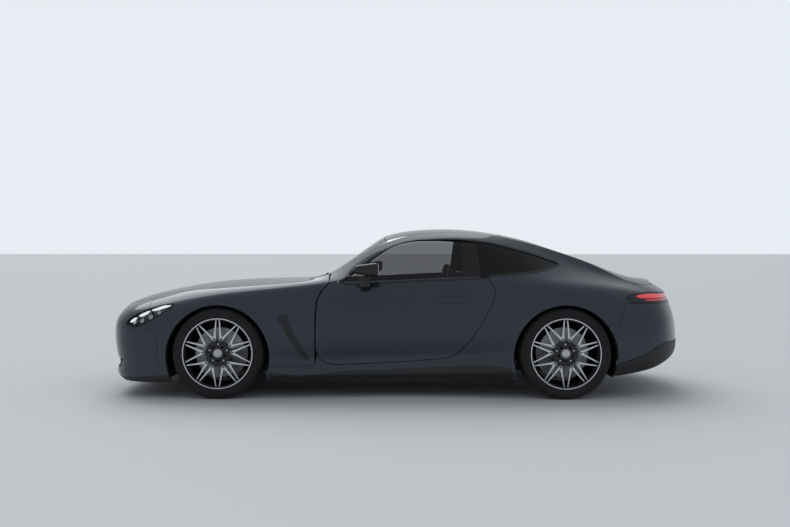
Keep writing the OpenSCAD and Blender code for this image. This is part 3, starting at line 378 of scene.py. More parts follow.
def make_glass(name, colour, alpha, rough=0.0, shine=0.5):
    material, shader, _ = tinted(name, colour, 0.9, 400, 6)
    dial(shader, Roughness=rough, IOR=1.5, Alpha=alpha, Specular_IOR_Level=shine)
    return material


def make_turned(name, colour):
    """Fine rings round the axle, from the wheel's own map of distance and angle."""
    material, shader, _ = tinted(name, colour, 0.86, 900, 12)
    nodes, links = material.node_tree.nodes, material.node_tree.links
    rings = nodes.new("ShaderNodeUVMap")
    rings.uv_map = "turned"
    wave = nodes.new("ShaderNodeTexWave")
    wave.bands_direction = "X"
    dial(wave, Scale=260, Distortion=0.4)
    links.new(rings.outputs[0], wave.inputs["Vector"])
    bumped(nodes, links, shader, wave.outputs["Fac"], 0.00004, 0.4)
    dial(shader, Metallic=1.0, Roughness=0.3)
    return material


def make_light_guide(name, colour, strength):
    material, shader, tint = tinted(name, colour, 0.8, 250, 30)
    material.node_tree.links.new(tint, shader.inputs["Emission Color"])
    dial(shader, Emission_Strength=strength, Roughness=0.2, Coat_Weight=1.0)
    return material


M["body_paint"] = make_paint()
M["roof_glass"] = make_roof_glass()
M["screen_glass"] = make_glass("screen_glass", (0.010, 0.013, 0.016), 0.34)
M["door_glass"] = make_glass("door_glass", (0.010, 0.011, 0.012), 0.36)
# the quarter and rear windows are nearly opaque black glass: partly a real dark tint, partly painted shade of
# the dark cabin behind them
M["dark_glass"] = make_glass("dark_glass", (0.004, 0.004, 0.005), 0.96, rough=0.02, shine=0.25)
M["lamp_glass"] = make_glass("lamp_glass", (0.02, 0.022, 0.025), 0.08)
M["wheel_face"] = make_turned("wheel_face", (0.72, 0.73, 0.75))
M["day_light"] = make_light_guide("day_light", (0.86, 0.9, 0.95), 0.9)
M["red_light"] = make_light_guide("red_light", (0.62, 0.02, 0.025), 0.55)
print("materials", len(M))

# %% [markdown]
# ## The body's lines
# A car body is drawn as a table of offsets: lines that run along the car, each with its inset from
# the widest outline and its height. A smooth cubic surface over that net is the skin. The top of the
# car (hood, screen, roof, tailgate) is a crowned surface hung between the two upper edge lines.
# The numbers are millimetres, with x from the front axle.

# %% Table of offsets
MM = 0.001
UP, FORWARD = (0, 0, 1), (-1, 0, 0)
SIDES = (-1, "left"), (1, "right")
# the front axle
BASE_X = sum(corner.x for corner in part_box("tyre_front_left")) / 2
STATIONS = np.array([0, 0.22, 0.42, 0.57, 0.70, 0.85] + [1 + i / 9 for i in range(10)]
                    + [2.14, 2.27, 2.40, 2.53, 2.66, 2.83, 3])
PLAN = [(0, -962, 0), (.22, -955, 330), (.42, -905, 640), (.57, -790, 850), (.7, -560, 925),
        (.85, -300, 960), (1, 0, 972), (1.111, 300, 966), (1.222, 600, 950), (1.333, 900, 938),
        (1.444, 1200, 932), (1.556, 1500, 932), (1.667, 1800, 940), (1.778, 2100, 957),
        (1.889, 2400, 982), (2, 2700, 993), (2.14, 2990, 985), (2.27, 3240, 953), (2.4, 3440, 893),
        (2.53, 3570, 775), (2.66, 3680, 560), (2.83, 3762, 290), (3, 3790, 0)]
ROWS = [
    # lower edge, sill, ledge, tuck
    [(0, 95, 130), (.42, 75, 128), (.7, 40, 125), (.85, 30, 130), (1, 30, 140), (1.25, 60, 137),
     (1.6, 62, 137), (1.9, 50, 150), (2, 40, 160), (2.14, 60, 165), (2.4, 75, 225), (2.66, 80, 262),
     (3, 80, 270)],
    [(0, 30, 172), (.42, 10, 176), (.7, 12, 170), (1, 10, 180), (1.25, 22, 178), (1.6, 22, 185),
     (1.9, 15, 205), (2, 15, 220), (2.27, 18, 245), (2.5, 15, 290), (3, 15, 320)],
    [(0, 50, 235), (.42, 34, 238), (.7, 14, 235), (1, 8, 240), (1.25, 32, 222), (1.6, 30, 248),
     (1.85, 22, 272), (2, 12, 290), (2.27, 8, 320), (2.5, 0, 370), (3, 0, 385)],
    [(0, 48, 300), (.42, 28, 305), (.7, 6, 320), (1, 3, 330), (1.25, 52, 300), (1.6, 56, 325),
     (1.8, 46, 345), (2, 6, 380), (2.27, 2, 400), (3, 0, 450)],
    # low, wide, crease, upper
    [(0, 20, 380), (.42, 8, 385), (.7, 0, 400), (1, 0, 420), (1.25, 22, 385), (1.6, 22, 415),
     (1.85, 14, 440), (2, 2, 470), (2.27, 2, 480), (3, 4, 515)],
    [(0, 0, 490), (.42, 0, 500), (.7, 0, 510), (1, 0, 530), (1.25, 0, 530), (1.6, 0, 550),
     (2, 0, 590), (2.27, 6, 580), (2.5, 10, 580), (3, 14, 580)],
    [(0, 6, 565), (.42, 6, 570), (.7, 6, 590), (1, 4, 650), (1.25, 6, 660), (1.6, 6, 685),
     (2, 4, 710), (2.27, 22, 670), (2.5, 28, 650), (3, 30, 650)],
    [(0, 10, 612), (.22, 14, 614), (.42, 26, 618), (.57, 40, 630), (.7, 52, 665), (.85, 36, 720),
     (1, 26, 765), (1.25, 30, 775), (1.6, 30, 795), (2, 28, 815), (2.27, 62, 770), (2.5, 55, 725),
     (3, 52, 720)],
    # shoulder, waist, glass
    [(0, 16, 642), (.22, 26, 645), (.42, 56, 652), (.57, 90, 680), (.7, 120, 725), (.85, 100, 780),
     (1, 82, 826), (1.25, 66, 860), (1.45, 55, 895), (1.6, 58, 905), (1.8, 62, 905), (2, 92, 898),
     (2.27, 135, 850), (2.5, 90, 790), (3, 72, 786)],
    [(0, 22, 662), (.22, 40, 668), (.42, 100, 690), (.57, 160, 720), (.7, 195, 765), (.85, 165, 818),
     (1, 150, 856), (1.22, 120, 893), (1.35, 105, 925), (1.45, 100, 945), (1.6, 100, 955), (1.8, 118, 968),
     (1.9, 150, 980), (2, 210, 950), (2.14, 255, 918), (2.27, 265, 880), (2.4, 200, 845), (2.55, 110, 822),
     (3, 84, 818)],
    [(0, 28, 677), (.22, 54, 686), (.42, 145, 712), (.57, 225, 742), (.7, 250, 782), (.85, 205, 835),
     (1, 195, 863), (1.22, 160, 900), (1.35, 140, 945), (1.45, 160, 1020), (1.6, 182, 1095),
     (1.8, 205, 1100), (1.9, 245, 1065), (2, 310, 1005), (2.14, 350, 955), (2.27, 345, 910),
     (2.4, 270, 868), (2.55, 158, 846), (3, 112, 842)],
    # header and upper edge
    [(0, 36, 690), (.22, 68, 700), (.42, 175, 726), (.57, 265, 755), (.7, 290, 790), (.85, 228, 842),
     (1, 218, 862), (1.22, 185, 902), (1.35, 180, 960), (1.45, 225, 1110), (1.556, 275, 1215),
     (1.667, 285, 1248), (1.778, 300, 1228), (1.9, 345, 1150), (2, 410, 1065), (2.14, 430, 1000),
     (2.27, 400, 940), (2.4, 320, 885), (2.55, 205, 862), (3, 130, 856)],
    [(0, 45, 700), (.22, 82, 711), (.42, 200, 738), (.57, 300, 766), (.7, 320, 797), (.85, 250, 846),
     (1, 240, 860), (1.22, 205, 900), (1.35, 205, 975), (1.45, 320, 1195), (1.556, 388, 1290),
     (1.667, 400, 1315), (1.778, 415, 1290), (1.9, 455, 1225), (2, 490, 1150), (2.14, 470, 1065),
     (2.27, 430, 968), (2.4, 350, 900), (2.55, 240, 876), (3, 152, 872)],
]
CENTRE = [(-905, 700), (-800, 748), (-640, 798), (-460, 839), (-300, 868), (-137, 888), (78, 905),
          (293, 913), (508, 914), (700, 905), (760, 918), (850, 978), (1061, 1128), (1200, 1226),
          (1290, 1279), (1368, 1303), (1471, 1323), (1625, 1338), (1779, 1342), (1933, 1337),
          (2087, 1323), (2241, 1299), (2446, 1254), (2754, 1152), (3062, 1049), (3216, 990),
          (3369, 940), (3440, 924), (3560, 912), (3626, 872)]


# %% Smooth curve through keys, and the cubic skin
def curve(keys, at, column=1):
    keys = np.array(keys, float)
    x, y = keys[:, 0], keys[:, column]
    chord = np.diff(y) / np.diff(x)
    total = chord[:-1] + chord[1:]
    same = chord[:-1] * chord[1:] > 0
    inner = np.where(same, 2 * chord[:-1] * chord[1:] / np.where(same, total, 1), 0)
    slope = np.concatenate([[chord[0]], inner, [chord[-1]]])
    at = np.clip(np.asarray(at, float), x[0], x[-1])
    i = np.clip(np.searchsorted(x, at, side="right") - 1, 0, len(x) - 2)
    h = x[i + 1] - x[i]
    t = (at - x[i]) / h
    return (y[i] * (1 + 2 * t) * (1 - t) ** 2 + y[i + 1] * t * t * (3 - 2 * t)
            + slope[i] * h * t * (1 - t) ** 2 - slope[i + 1] * h * t * t * (1 - t))


def make_net():
    base = np.stack([curve(PLAN, STATIONS, 1), curve(PLAN, STATIONS, 2)], 1)
    ends = base[1] * (1, -1), base[-2] * (1, -1)
    around = np.vstack([ends[0], base, ends[1]])
    tangent = around[2:] - around[:-2]
    tangent /= np.linalg.norm(tangent, axis=1)[:, None]
    normal = np.stack([-tangent[:, 1], tangent[:, 0]], 1)
    net = np.zeros((len(ROWS), len(STATIONS), 3))
    for r, row in enumerate(ROWS):
        net[r, :, :2] = base - normal * curve(row, STATIONS, 1)[:, None]
        net[r, :, 2] = curve(row, STATIONS, 2)
        net[r, [0, -1], 1] = 0
    flip = np.array([1, -1, 1])
    net = np.concatenate([net[:, :0:-1] * flip, net, net[:, -2::-1] * flip], 1)
    net = np.concatenate([2 * net[:1] - net[1:2], net, 2 * net[-1:] - net[-2:-1]], 0)
    return net * MM + (BASE_X, 0, 0)


NET = make_net()
LAST_STATION, LAST_ROW = len(STATIONS) - 1, len(ROWS) - 1
AXLE_STATION, STATION_PITCH = 6, 300


def weights(t):
    """The four shares of a cubic spline."""
    shares = (1 - t) ** 3, 3 * t ** 3 - 6 * t ** 2 + 4, -3 * t ** 3 + 3 * t ** 2 + 3 * t + 1, t ** 3
    return np.stack(shares, -1) / 6


def skin(u, v):
    """The body's surface on the car's right side, station u and line v, in metres."""
    u, v = np.broadcast_arrays(np.asarray(u, float), np.asarray(v, float))
    i = np.floor(u).astype(int)
    j = np.clip(np.floor(v).astype(int), 0, LAST_ROW - 1)
    across, up = weights(u - i), weights(v - j)
    place_of = 0
    for a in range(4):
        for b in range(4):
            place_of = place_of + (up[..., a] * across[..., b])[..., None] * NET[j + a,
                                                                                 i + b - 1 + LAST_STATION]
    return place_of


def station_at(x):
    return AXLE_STATION + x / STATION_PITCH


EDGE = skin(np.linspace(0, LAST_STATION, 2201), np.full(2201, float(LAST_ROW)))


def edge_y(x):
    return np.interp(x, EDGE[:, 0], EDGE[:, 1])


def top(x, t):
    """The car's top at x in metres, t from -1 at the left edge to 1 at the right."""
    high = curve(CENTRE, (x - BASE_X) / MM) * MM
    low = np.interp(x, EDGE[:, 0], EDGE[:, 2])
    t = np.asarray(t, float)
    z = high - (high - low) * (0.55 * t ** 2 + 0.45 * t ** 4)
    return np.stack(np.broadcast_arrays(x, t * edge_y(x), z), -1)


print("nose", EDGE[0].round(3), "tail", EDGE[-1].round(3))


# %% [markdown]
# ## Panels
# Every outer panel is a grid laid on the skin, thickened inwards, and cut to its outline with
# straight prisms, as a press shop would do it. A panel remembers its place on the skin in its own
# map, so its shading follows the smooth surface right up to the cut edges.

# %% Outlines
def softened(points, times=2):
    points = np.asarray(points, float)
    for _ in range(times):
        after = np.roll(points, -1, 0)
        points = np.stack([points * 0.78 + after * 0.22, points * 0.22 + after * 0.78], 1).reshape(-1, 2)
    return points


def grown(points, by):
    points = np.asarray(points, float)
    to_next = np.roll(points, -1, 0) - points
    after = np.roll(points, -1, 0)
    turn = np.sign(np.sum(points[:, 0] * after[:, 1] - points[:, 1] * after[:, 0]))
    to_next /= np.linalg.norm(to_next, axis=1)[:, None]
    outward = np.stack([to_next[:, 1], -to_next[:, 0]], 1) * turn
    before = np.roll(outward, 1, 0)
    mitre = (outward + before) / (1 + np.sum(outward * before, 1))[:, None]
    return points + mitre * by


def side_view(points, grow=0.0, soft=0):
    """Drawn x and height in millimetres to metres, with soft corners and a margin."""
    points = softened(points, soft) if soft else np.asarray(points, float)
    return grown(points * MM + (BASE_X, 0), grow)


# %% Cutters
def prism(points, plane, low, high, material="inner_paint"):
    """A straight-sided solid over an outline drawn in one of the three views."""
    deselect()
    bpy.ops.mesh.primitive_circle_add(vertices=len(points), fill_type="NGON")
    piece = bpy.context.object
    first, second, deep = {"XZ": (0, 2, 1), "XY": (0, 1, 2), "YZ": (1, 2, 0)}[plane]
    flat = np.empty((len(points), 3))
    flat[:, first] = points[:, 0]
    flat[:, second] = points[:, 1]
    flat[:, deep] = low
    set_coords(piece, flat)
    reach = [0.0, 0.0, 0.0]
    reach[deep] = high - low
    edit(piece)
    bpy.ops.mesh.extrude_region_move(TRANSFORM_OT_translate={"value": reach})
    bpy.ops.mesh.select_all(action="SELECT")
    bpy.ops.mesh.normals_make_consistent(inside=False)
    leave()
    return paint(piece, M[material])


def block(low, high, material="inner_paint", name="block"):
    deselect()
    middle = [(a + b) / 2 for a, b in zip(low, high)]
    bpy.ops.mesh.primitive_cube_add(size=1, location=middle)
    piece = bpy.context.object
    piece.scale = [b - a for a, b in zip(low, high)]
    piece.name = piece.data.name = name
    return paint(settle(piece), M[material])


def rod(centre, radius, depth, axis="Y", material="inner_paint", sides=96, name="rod"):
    deselect()
    turn = {"X": (0, math.pi / 2, 0), "Y": (math.pi / 2, 0, 0), "Z": (0, 0, 0)}[axis]
    bpy.ops.mesh.primitive_cylinder_add(
        vertices=sides, radius=radius, depth=depth, location=centre, rotation=turn)
    piece = bpy.context.object
    piece.name = piece.data.name = name
    return paint(settle(piece), M[material])


def carve(piece, cutter, how="DIFFERENCE"):
    apply(piece, "BOOLEAN", object=cutter, operation=how, solver="EXACT", material_mode="TRANSFER")
    remove(cutter)
    return piece


# %% Surfaces
def flank(side):
    """The skin on the left (-1) or the right (1)."""
    return lambda u, v: skin(u, v) * (1, side, 1)


def lid(front, rear, gap=0.0):
    """A top panel between two bowed borders, each given as x in the middle and x added at the edge."""
    def surface(s, w):
        x = (front[0] + front[1] * s ** 2) * (1 - w) + (rear[0] + rear[1] * s ** 2) * w
        x = BASE_X + x * MM
        return top(x, s * (1 - gap / np.maximum(edge_y(x), 4 * gap + 1e-6)))
    return surface


def normal_of(surface, a, b, out):
    step = 0.004
    across = surface(a + step, b) - surface(a - step, b)
    along = surface(a, b + step) - surface(a, b - step)
    normal = np.cross(across, along)
    normal /= np.maximum(np.linalg.norm(normal, axis=-1), 1e-12)[..., None]
    return normal * (-1 if np.sum(normal @ np.array(out, float)) < 0 else 1)


def lifted(surface, by, out):
    return lambda a, b: surface(a, b) + by * normal_of(surface, a, b, out)


# %% The panel maker
def sheet_on(surface, spans, counts, name="sheet"):
    deselect()
    bpy.ops.mesh.primitive_grid_add(x_subdivisions=counts[0], y_subdivisions=counts[1], size=1)
    piece = bpy.context.object
    piece.name = piece.data.name = name
    first, second = (np.linspace(*span, count + 1) for span, count in zip(spans, counts))
    b, a = np.meshgrid(second, first, indexing="ij")
    return set_coords(piece, surface(a, b).reshape(-1, 3))


def face_out(piece, out):
    mesh = piece.data
    normals = np.empty(len(mesh.polygons) * 3)
    mesh.polygons.foreach_get("normal", normals)
    if (normals.reshape(-1, 3) @ np.array(out, float)).sum() < 0:
        mesh.flip_normals()
    return piece


def true_shading(piece, surface, spans, out):
    """Gives the outer faces the smooth surface's own normals."""
    smooth(piece, 30)
    mesh = piece.data
    where = np.empty(len(mesh.loops) * 2)
    mesh.uv_layers[0].data.foreach_get("uv", where)
    where = where.reshape(-1, 2)
    a = spans[0][0] + where[:, 0] * (spans[0][1] - spans[0][0])
    b = spans[1][0] + where[:, 1] * (spans[1][1] - spans[1][0])
    kind = np.empty(len(mesh.polygons), int)
    mesh.polygons.foreach_get("material_index", kind)
    corners = np.empty(len(mesh.polygons), int)
    mesh.polygons.foreach_get("loop_total", corners)
    outer = np.repeat(kind == 0, corners)
    normals = normal_of(surface, a, b, out)
    mesh.normals_split_custom_set(np.where(outer[:, None], normals, 0.0))
    return piece


def panel(name, surface, spans, counts, thick, keep=(), cut=(), out=UP,
          skins=("body_paint", "inner_paint")):
    """A grid on the surface, thickened inwards, kept inside some cutters and cut by others."""
    piece = face_out(sheet_on(surface, spans, counts, name), out)
    paint(piece, M[skins[0]], M[skins[1]])
    apply(piece, "SOLIDIFY", thickness=thick, offset=-1, material_offset=1, material_offset_rim=1)
    for cutter in keep:
        carve(piece, cutter, "INTERSECT")
    for cutter in cut:
        carve(piece, cutter)
    true_shading(piece, surface, spans, out)
    if skins[0] == skins[1]:
        # the cutters bring their own paint along, so a panel of one material takes it back everywhere
        for slot in piece.material_slots:
            slot.material = M[skins[0]]
    return piece


def room(front, rear, depth, count=60):
    """Space for a lid: a slab from above the skin to a depth under it."""
    surface = lifted(lid(front, rear), 0.03, UP)
    piece = face_out(sheet_on(surface, ((-1, 1), (0, 1)), (30, count)), UP)
    paint(piece, M["inner_paint"])
    return apply(piece, "SOLIDIFY", thickness=depth + 0.03, offset=-1)


# %% [markdown]
# ## Panel outlines
# They are drawn in the side view in millimetres. Neighbours share a line, so each
# panel takes half of the seam, and the moving lids take a wider shut line.

# %% Panel outlines
DOOR = [(760, 262), (1183, 276), (1597, 300), (1804, 322), (1871, 358), (1959, 451), (2040, 575),
        (2114, 706), (2146, 780), (2156, 843), (2136, 900), (2085, 952), (1807, 944), (1390, 924),
        (1171, 914), (932, 908), (863, 900), (802, 831), (771, 758), (762, 624)]
WINDOW = [(945, 898), (1171, 904), (1390, 914), (1807, 934), (2085, 944), (2158, 969), (2323, 976),
          (2489, 991), (2621, 1018), (2709, 1041), (2681, 1063), (2602, 1086), (2512, 1120),
          (2343, 1165), (2142, 1215), (1927, 1240), (1766, 1248), (1605, 1246), (1498, 1235),
          (1391, 1208), (1283, 1150), (1176, 1076), (1015, 966)]
HEADLIGHT = [(-332, 738), (-392, 685), (-497, 622), (-624, 554), (-735, 566), (-722, 617),
             (-640, 662), (-540, 700), (-434, 735)]
TAILLIGHT = [(3171, 785), (3230, 748), (3380, 738), (3900, 738), (3900, 806), (3504, 813),
             (3380, 822), (3240, 812)]
BODY_SIDE = [(380, 60), (380, 256), (752, 256), (857, 903), (940, 1400), (4000, 1400), (4000, 742),
             (3168, 742), (3120, 600), (3070, 500), (2960, 430), (2960, 60)]
FENDER = [(380, 256), (752, 256), (752, 624), (763, 758), (794, 833), (857, 903), (840, 1100),
          (-560, 1100), (-560, 560), (-470, 470), (-470, 256)]
BUMPER_FRONT = [(-1100, 60), (-300, 60), (-300, 256), (-470, 256), (-470, 470), (-560, 560),
                (-560, 900), (-1100, 900)]
BUMPER_REAR = [(2960, 60), (2960, 430), (3070, 500), (3120, 600), (3168, 742), (3300, 742),
               (4000, 742), (4000, 60)]
DIFFUSER = [(3060, 60), (3060, 255), (3114, 275), (3294, 335), (3403, 390), (3501, 430),
            (4000, 440), (4000, 60)]
GRILLE = [(-330, 330), (330, 330), (400, 545), (330, 585), (-330, 585), (-400, 545)]
LOWER_INTAKE = [(-420, 195), (420, 195), (380, 285), (-380, 285)]
SIDE_INTAKE = [(480, 225), (760, 225), (800, 300), (520, 320)]
SHUT, SEAM = 0.005, 0.0028
REACH = 1.4
HOOD_LINES = (-888, 0), (640, 120)
SCREEN_FRONT, SCREEN_REAR = (738, 120), (1275, 35)
ROOF_REAR, HATCH_REAR = (2224, 8), (3600, -90)
AXLES = BASE_X, BASE_X + 2.7
ARCH_RADIUS, ARCH_Z = 0.403, 0.328
NOSE_DEPTH = BASE_X - 1.3, BASE_X - 0.6
TAIL_FROM, TAIL_TO, TAIL_HALF = BASE_X + 3.3, BASE_X + 3.9, 0.62


def moved(line, by):
    return line[0] + by, line[1]


def through(side, points, grow=0.0, soft=0, inner=0.0):
    """A prism through one side of the car over a side-view outline."""
    low, high = sorted((side * inner, side * REACH))
    return prism(side_view(points, grow, soft), "XZ", low, high)


def door_cut(side):
    return through(side, DOOR, SHUT, 2)


def arch(side, x):
    """The round cut over a wheel."""
    return rod((x, side * 0.89, ARCH_Z), ARCH_RADIUS, 1.02, material="black_plastic", sides=128)


# %% Sides, fenders and bumpers
SKINS = {}
BLACK_PLASTIC = ("black_plastic", "black_plastic")
for side, word in SIDES:
    out = (0, side, 0)
    SKINS["body_side_" + word] = panel(
        "body_side_skin_" + word, flank(side), ((station_at(370), 22), (0, 12)), (190, 72), 0.05,
        keep=[through(side, BODY_SIDE, -SEAM / 2)],
        cut=[through(side, DOOR, SHUT, 2, 0.5), through(side, WINDOW, 0, 1, 0.3), arch(side, AXLES[0]),
             arch(side, AXLES[1]), through(side, TAILLIGHT, SEAM, 1, 0.4),
             block((TAIL_FROM, min(-0.01 * side, TAIL_HALF * side), 0.6),
                   (TAIL_TO, max(-0.01 * side, TAIL_HALF * side), 1.2)),
             room(moved(HOOD_LINES[1], -100), moved(HATCH_REAR, 5), 0.045, 120)], out=out)
    SKINS["fender_" + word] = panel(
        "fender_skin_" + word, flank(side), ((3, station_at(900)), (1.5, 12)), (90, 62), 0.024,
        keep=[through(side, FENDER, -SEAM / 2)],
        cut=[arch(side, AXLES[0]), through(side, HEADLIGHT, SEAM / 2, 1), through(side, DOOR, SHUT, 2, 0.5),
             room(HOOD_LINES[0], SCREEN_REAR, 0.05, 90)], out=out)
    print(word, "side panels done")


# %% Nose and tail
def both(make):
    """A cutter on each side of the car, joined."""
    return join("cutter", [make(-1), make(1)])


def seen_from_front(points, grow=0.0, mirrored=False):
    points = np.array(points, float) * MM
    if mirrored:
        points[:, 0] *= -1
    return grown(points, grow)


def intakes(grow=0.0):
    """The openings of the nose, cut straight back."""
    openings = [seen_from_front(GRILLE, grow), seen_from_front(LOWER_INTAKE, grow),
                seen_from_front(SIDE_INTAKE, grow), seen_from_front(SIDE_INTAKE, grow, True)]
    return join("cutter", [prism(o, "YZ", *NOSE_DEPTH, "black_plastic") for o in openings])


NOSE = ((-17 / 3, 17 / 3), (0, 12))
TAIL = ((15.7, 28.3), (0, 12))
SKINS["front_bumper"] = panel(
    "front_bumper_skin", flank(1), NOSE, (200, 72), 0.022,
    keep=[prism(side_view(BUMPER_FRONT, -SEAM / 2), "XZ", -REACH, REACH)],
    cut=[both(lambda side: arch(side, AXLES[0])), both(lambda side: through(side, HEADLIGHT, SEAM / 2, 1)),
         intakes(), room(moved(HOOD_LINES[0], -SHUT), HOOD_LINES[1], 0.05, 90)], out=FORWARD)
tail_block = block((TAIL_FROM, SEAM - TAIL_HALF, 0.7), (TAIL_TO, TAIL_HALF - SEAM, 1.2))
SKINS["rear_bumper"] = panel(
    "rear_bumper_skin", flank(1), TAIL, (230, 72), 0.022,
    keep=[carve(prism(side_view(BUMPER_REAR, -SEAM / 2), "XZ", -REACH, REACH), tail_block, "UNION")],
    cut=[through(-1, TAILLIGHT, SEAM, 1, 0.4), through(1, TAILLIGHT, SEAM, 1, 0.4),
         both(lambda side: arch(side, AXLES[1])), prism(side_view(DIFFUSER, SEAM), "XZ", -REACH, REACH),
         room(ROOF_REAR, moved(HATCH_REAR, SHUT), 0.045, 90)], out=(1, 0, 0))
SKINS["rear_diffuser"] = panel(
    "rear_diffuser_skin", flank(1), ((15.9, 28.1), (0, 6)), (200, 40), 0.03,
    keep=[prism(side_view(DIFFUSER, -SEAM / 2), "XZ", -REACH, REACH)],
    cut=[both(lambda side: arch(side, AXLES[1]))], out=(1, 0, 0), skins=BLACK_PLASTIC)
print("nose and tail done")

# %% Hood, cowl, screen, roof and tailgate
ALL = (-1, 1), (0, 1)
SKINS["hood"] = panel("hood_skin", lid(HOOD_LINES[0], moved(HOOD_LINES[1], -5), SHUT), ALL, (64, 72), 0.018)
cowl_top = lid(moved(HOOD_LINES[1], 5), moved(SCREEN_FRONT, 14), SEAM)
SKINS["cowl"] = panel("cowl_skin", lifted(cowl_top, -0.012, UP), ALL, (60, 8), 0.01, skins=BLACK_PLASTIC)
SKINS["windscreen"] = panel("windscreen_skin", lid(SCREEN_FRONT, SCREEN_REAR, 0.006), ALL, (50, 30), 0.005,
                            skins=("screen_glass", "screen_glass"))
SKINS["roof_panel"] = panel("roof_skin", lid(moved(SCREEN_REAR, 3), ROOF_REAR, SEAM), ALL, (50, 40), 0.03,
                            skins=("roof_glass", "inner_paint"))
GLASS_X = np.linspace(BASE_X + 2.3, BASE_X + 3.18, 12)


def rear_opening(grow=0.0):
    x = np.linspace(GLASS_X[0] - grow, GLASS_X[-1] + grow, 12)
    y = edge_y(x) - 0.062 + grow
    points = np.concatenate([np.stack([x, -y], 1), np.stack([x[::-1], y[::-1]], 1)])
    return prism(points, "XY", 0.5, 1.5, "gloss_black")


SKINS["tailgate"] = panel("tailgate_skin", lid(moved(ROOF_REAR, 5), HATCH_REAR, SHUT), ALL, (60, 76), 0.024,
                          cut=[rod((BASE_X + 2.15, 0, 1.262), 0.0885, 1.6), rear_opening()])
# the rear window is nearly opaque black glass on a gloss black back: painted shade of the space behind it
SKINS["rear_glass"] = panel("rear_glass_skin", lid((2250, 0), (3250, 0), 0.02), ALL, (50, 50), 0.005,
                            keep=[rear_opening(-0.002)], skins=("dark_glass", "gloss_black"))
print("top panels done")

# %% Doors and side glass
SPLIT = [(2062, 800), (2002, 1400)]
for side, word in SIDES:
    out = (0, side, 0)
    SKINS["door_" + word] = panel(
        "door_skin_" + word, flank(side), ((station_at(720), station_at(2200)), (1.2, 10.2)), (90, 60), 0.03,
        keep=[through(side, DOOR, 0, 2)], out=out)
    behind = [(-400, 800), *SPLIT, (-400, 1400)]
    SKINS["door_glass_" + word] = panel(
        "door_glass_skin_" + word, lifted(flank(side), -0.006, out),
        ((station_at(850), station_at(2150)), (8.6, 12)), (80, 24), 0.004,
        keep=[through(side, WINDOW, -0.005, 1), through(side, behind)], cut=[through(side, DOOR, 0.001, 2)],
        out=out, skins=("door_glass", "door_glass"))
    ahead = [(SPLIT[0][0] + 8, 800), (4000, 800), (4000, 1400), (SPLIT[1][0] + 8, 1400)]
    # the quarter glass is nearly opaque black: painted shade of the cabin behind it
    SKINS["quarter_glass_" + word] = panel(
        "quarter_glass_skin_" + word, lifted(flank(side), -0.004, out), ((station_at(1950), 16.5), (8, 12)),
        (60, 30), 0.004, keep=[through(side, WINDOW, -0.001, 1), through(side, ahead)],
        cut=[door_cut(side)], out=out, skins=("dark_glass", "dark_glass"))
print("doors and glass done")

# %% [markdown]
# ## Wheels and tyres
# A wheel is drawn facing the reader: its outboard side looks along +Z, and it is turned to its place
# at the end. Rings come from profiles spun about the axle. Ten V-shaped spokes stand on a dark
# barrel, and only their front faces are turned bright.

# %% Spun rings
def lathe(profile, material, name="ring", steps=96):
    """Spins a closed profile of (radius, height) about Z."""
    deselect()
    bpy.ops.mesh.primitive_circle_add(vertices=len(profile), fill_type="NOTHING")
    piece = bpy.context.object
    piece.name = piece.data.name = name
    points = np.array(profile, float)
    set_coords(piece, np.stack([points[:, 0], np.zeros(len(points)), points[:, 1]], 1))
    edit(piece)
    bpy.ops.mesh.spin(steps=steps, angle=math.tau, center=(0, 0, 0), axis=(0, 0, 1))
    bpy.ops.mesh.select_all(action="SELECT")
    bpy.ops.mesh.remove_doubles(threshold=0.00002)
    bpy.ops.mesh.normals_make_consistent(inside=False)
    leave()
    return smooth(paint(piece, M[material]), 30)


def bar(points, low, high, material, name="bar"):
    """A flat bar over an outline in the wheel's own plane."""
    piece = prism(np.array(points, float), "XY", low, high, material)
    piece.name = piece.data.name = name
    return piece


def bevel(piece, width, segments=2, angle=40):
    return apply(piece, "BEVEL", width=width, segments=segments, limit_method="ANGLE",
                 angle_limit=math.radians(angle))


def copies(piece, count):
    """The piece and its copies, turned about Z in even steps, as one."""
    all_of_them = [piece]
    for k in range(1, count):
        other = piece.copy()
        other.data = piece.data.copy()
        bpy.context.scene.collection.objects.link(other)
        other.data.transform(Matrix.Rotation(math.tau * k / count, 4, "Z"))
        all_of_them.append(other)
    return join(piece.name, all_of_them)


def polar(radius, degrees):
    return np.array([math.cos(math.radians(degrees)), math.sin(math.radians(degrees))]) * radius


# %% Spokes
RIM, TYRE_RADIUS = 0.275, 0.355
SPOKE_DEPTH = 0.026
RIBS, LUGS = 9, 5


def spoke(start, end, wide, narrow, low, high):
    """A bar that tapers from start to end, with a broad root."""
    along = (end - start) / np.linalg.norm(end - start)
    side = np.array([-along[1], along[0]])
    root = start - along * wide * 0.25
    widths = ((root, wide * 0.42), (start + along * 0.012, wide / 2), (start + along * 0.05, wide * 0.36),
              (end, narrow / 2))
    outline = [at - side * half for at, half in widths] + [at + side * half for at, half in widths[::-1]]
    return bevel(bar(outline, low, high, "gloss_black", "spoke"), 0.0012, 2)


def turned_face(piece, high):
    """The faces that look outboard are turned bright."""
    piece.data.materials.append(M["wheel_face"])
    for face in piece.data.polygons:
        if face.normal.z > 0.9 and face.center.z > high - 0.0016:
            face.material_index = len(piece.data.materials) - 1
    return piece


def make_spokes(half):
    high = half - 0.020
    low = high - SPOKE_DEPTH
    parts = []
    for way in (-1, 1):
        root = polar(0.39 * RIM, 90 + way * 13.5)
        for turn in (2.6, 33.4):
            parts.append(spoke(root, polar(0.965 * RIM, 90 + way * turn), 0.021, 0.0085, low, high))
        # the dark leg from each V down to the hub
        foot = np.array([-way * 0.030, 0.13 * RIM])
        parts.append(spoke(root, foot, 0.026, 0.040, low - 0.012, high - 0.006))
    group = copies(join("spokes", parts), 5)
    return turned_face(group, high)


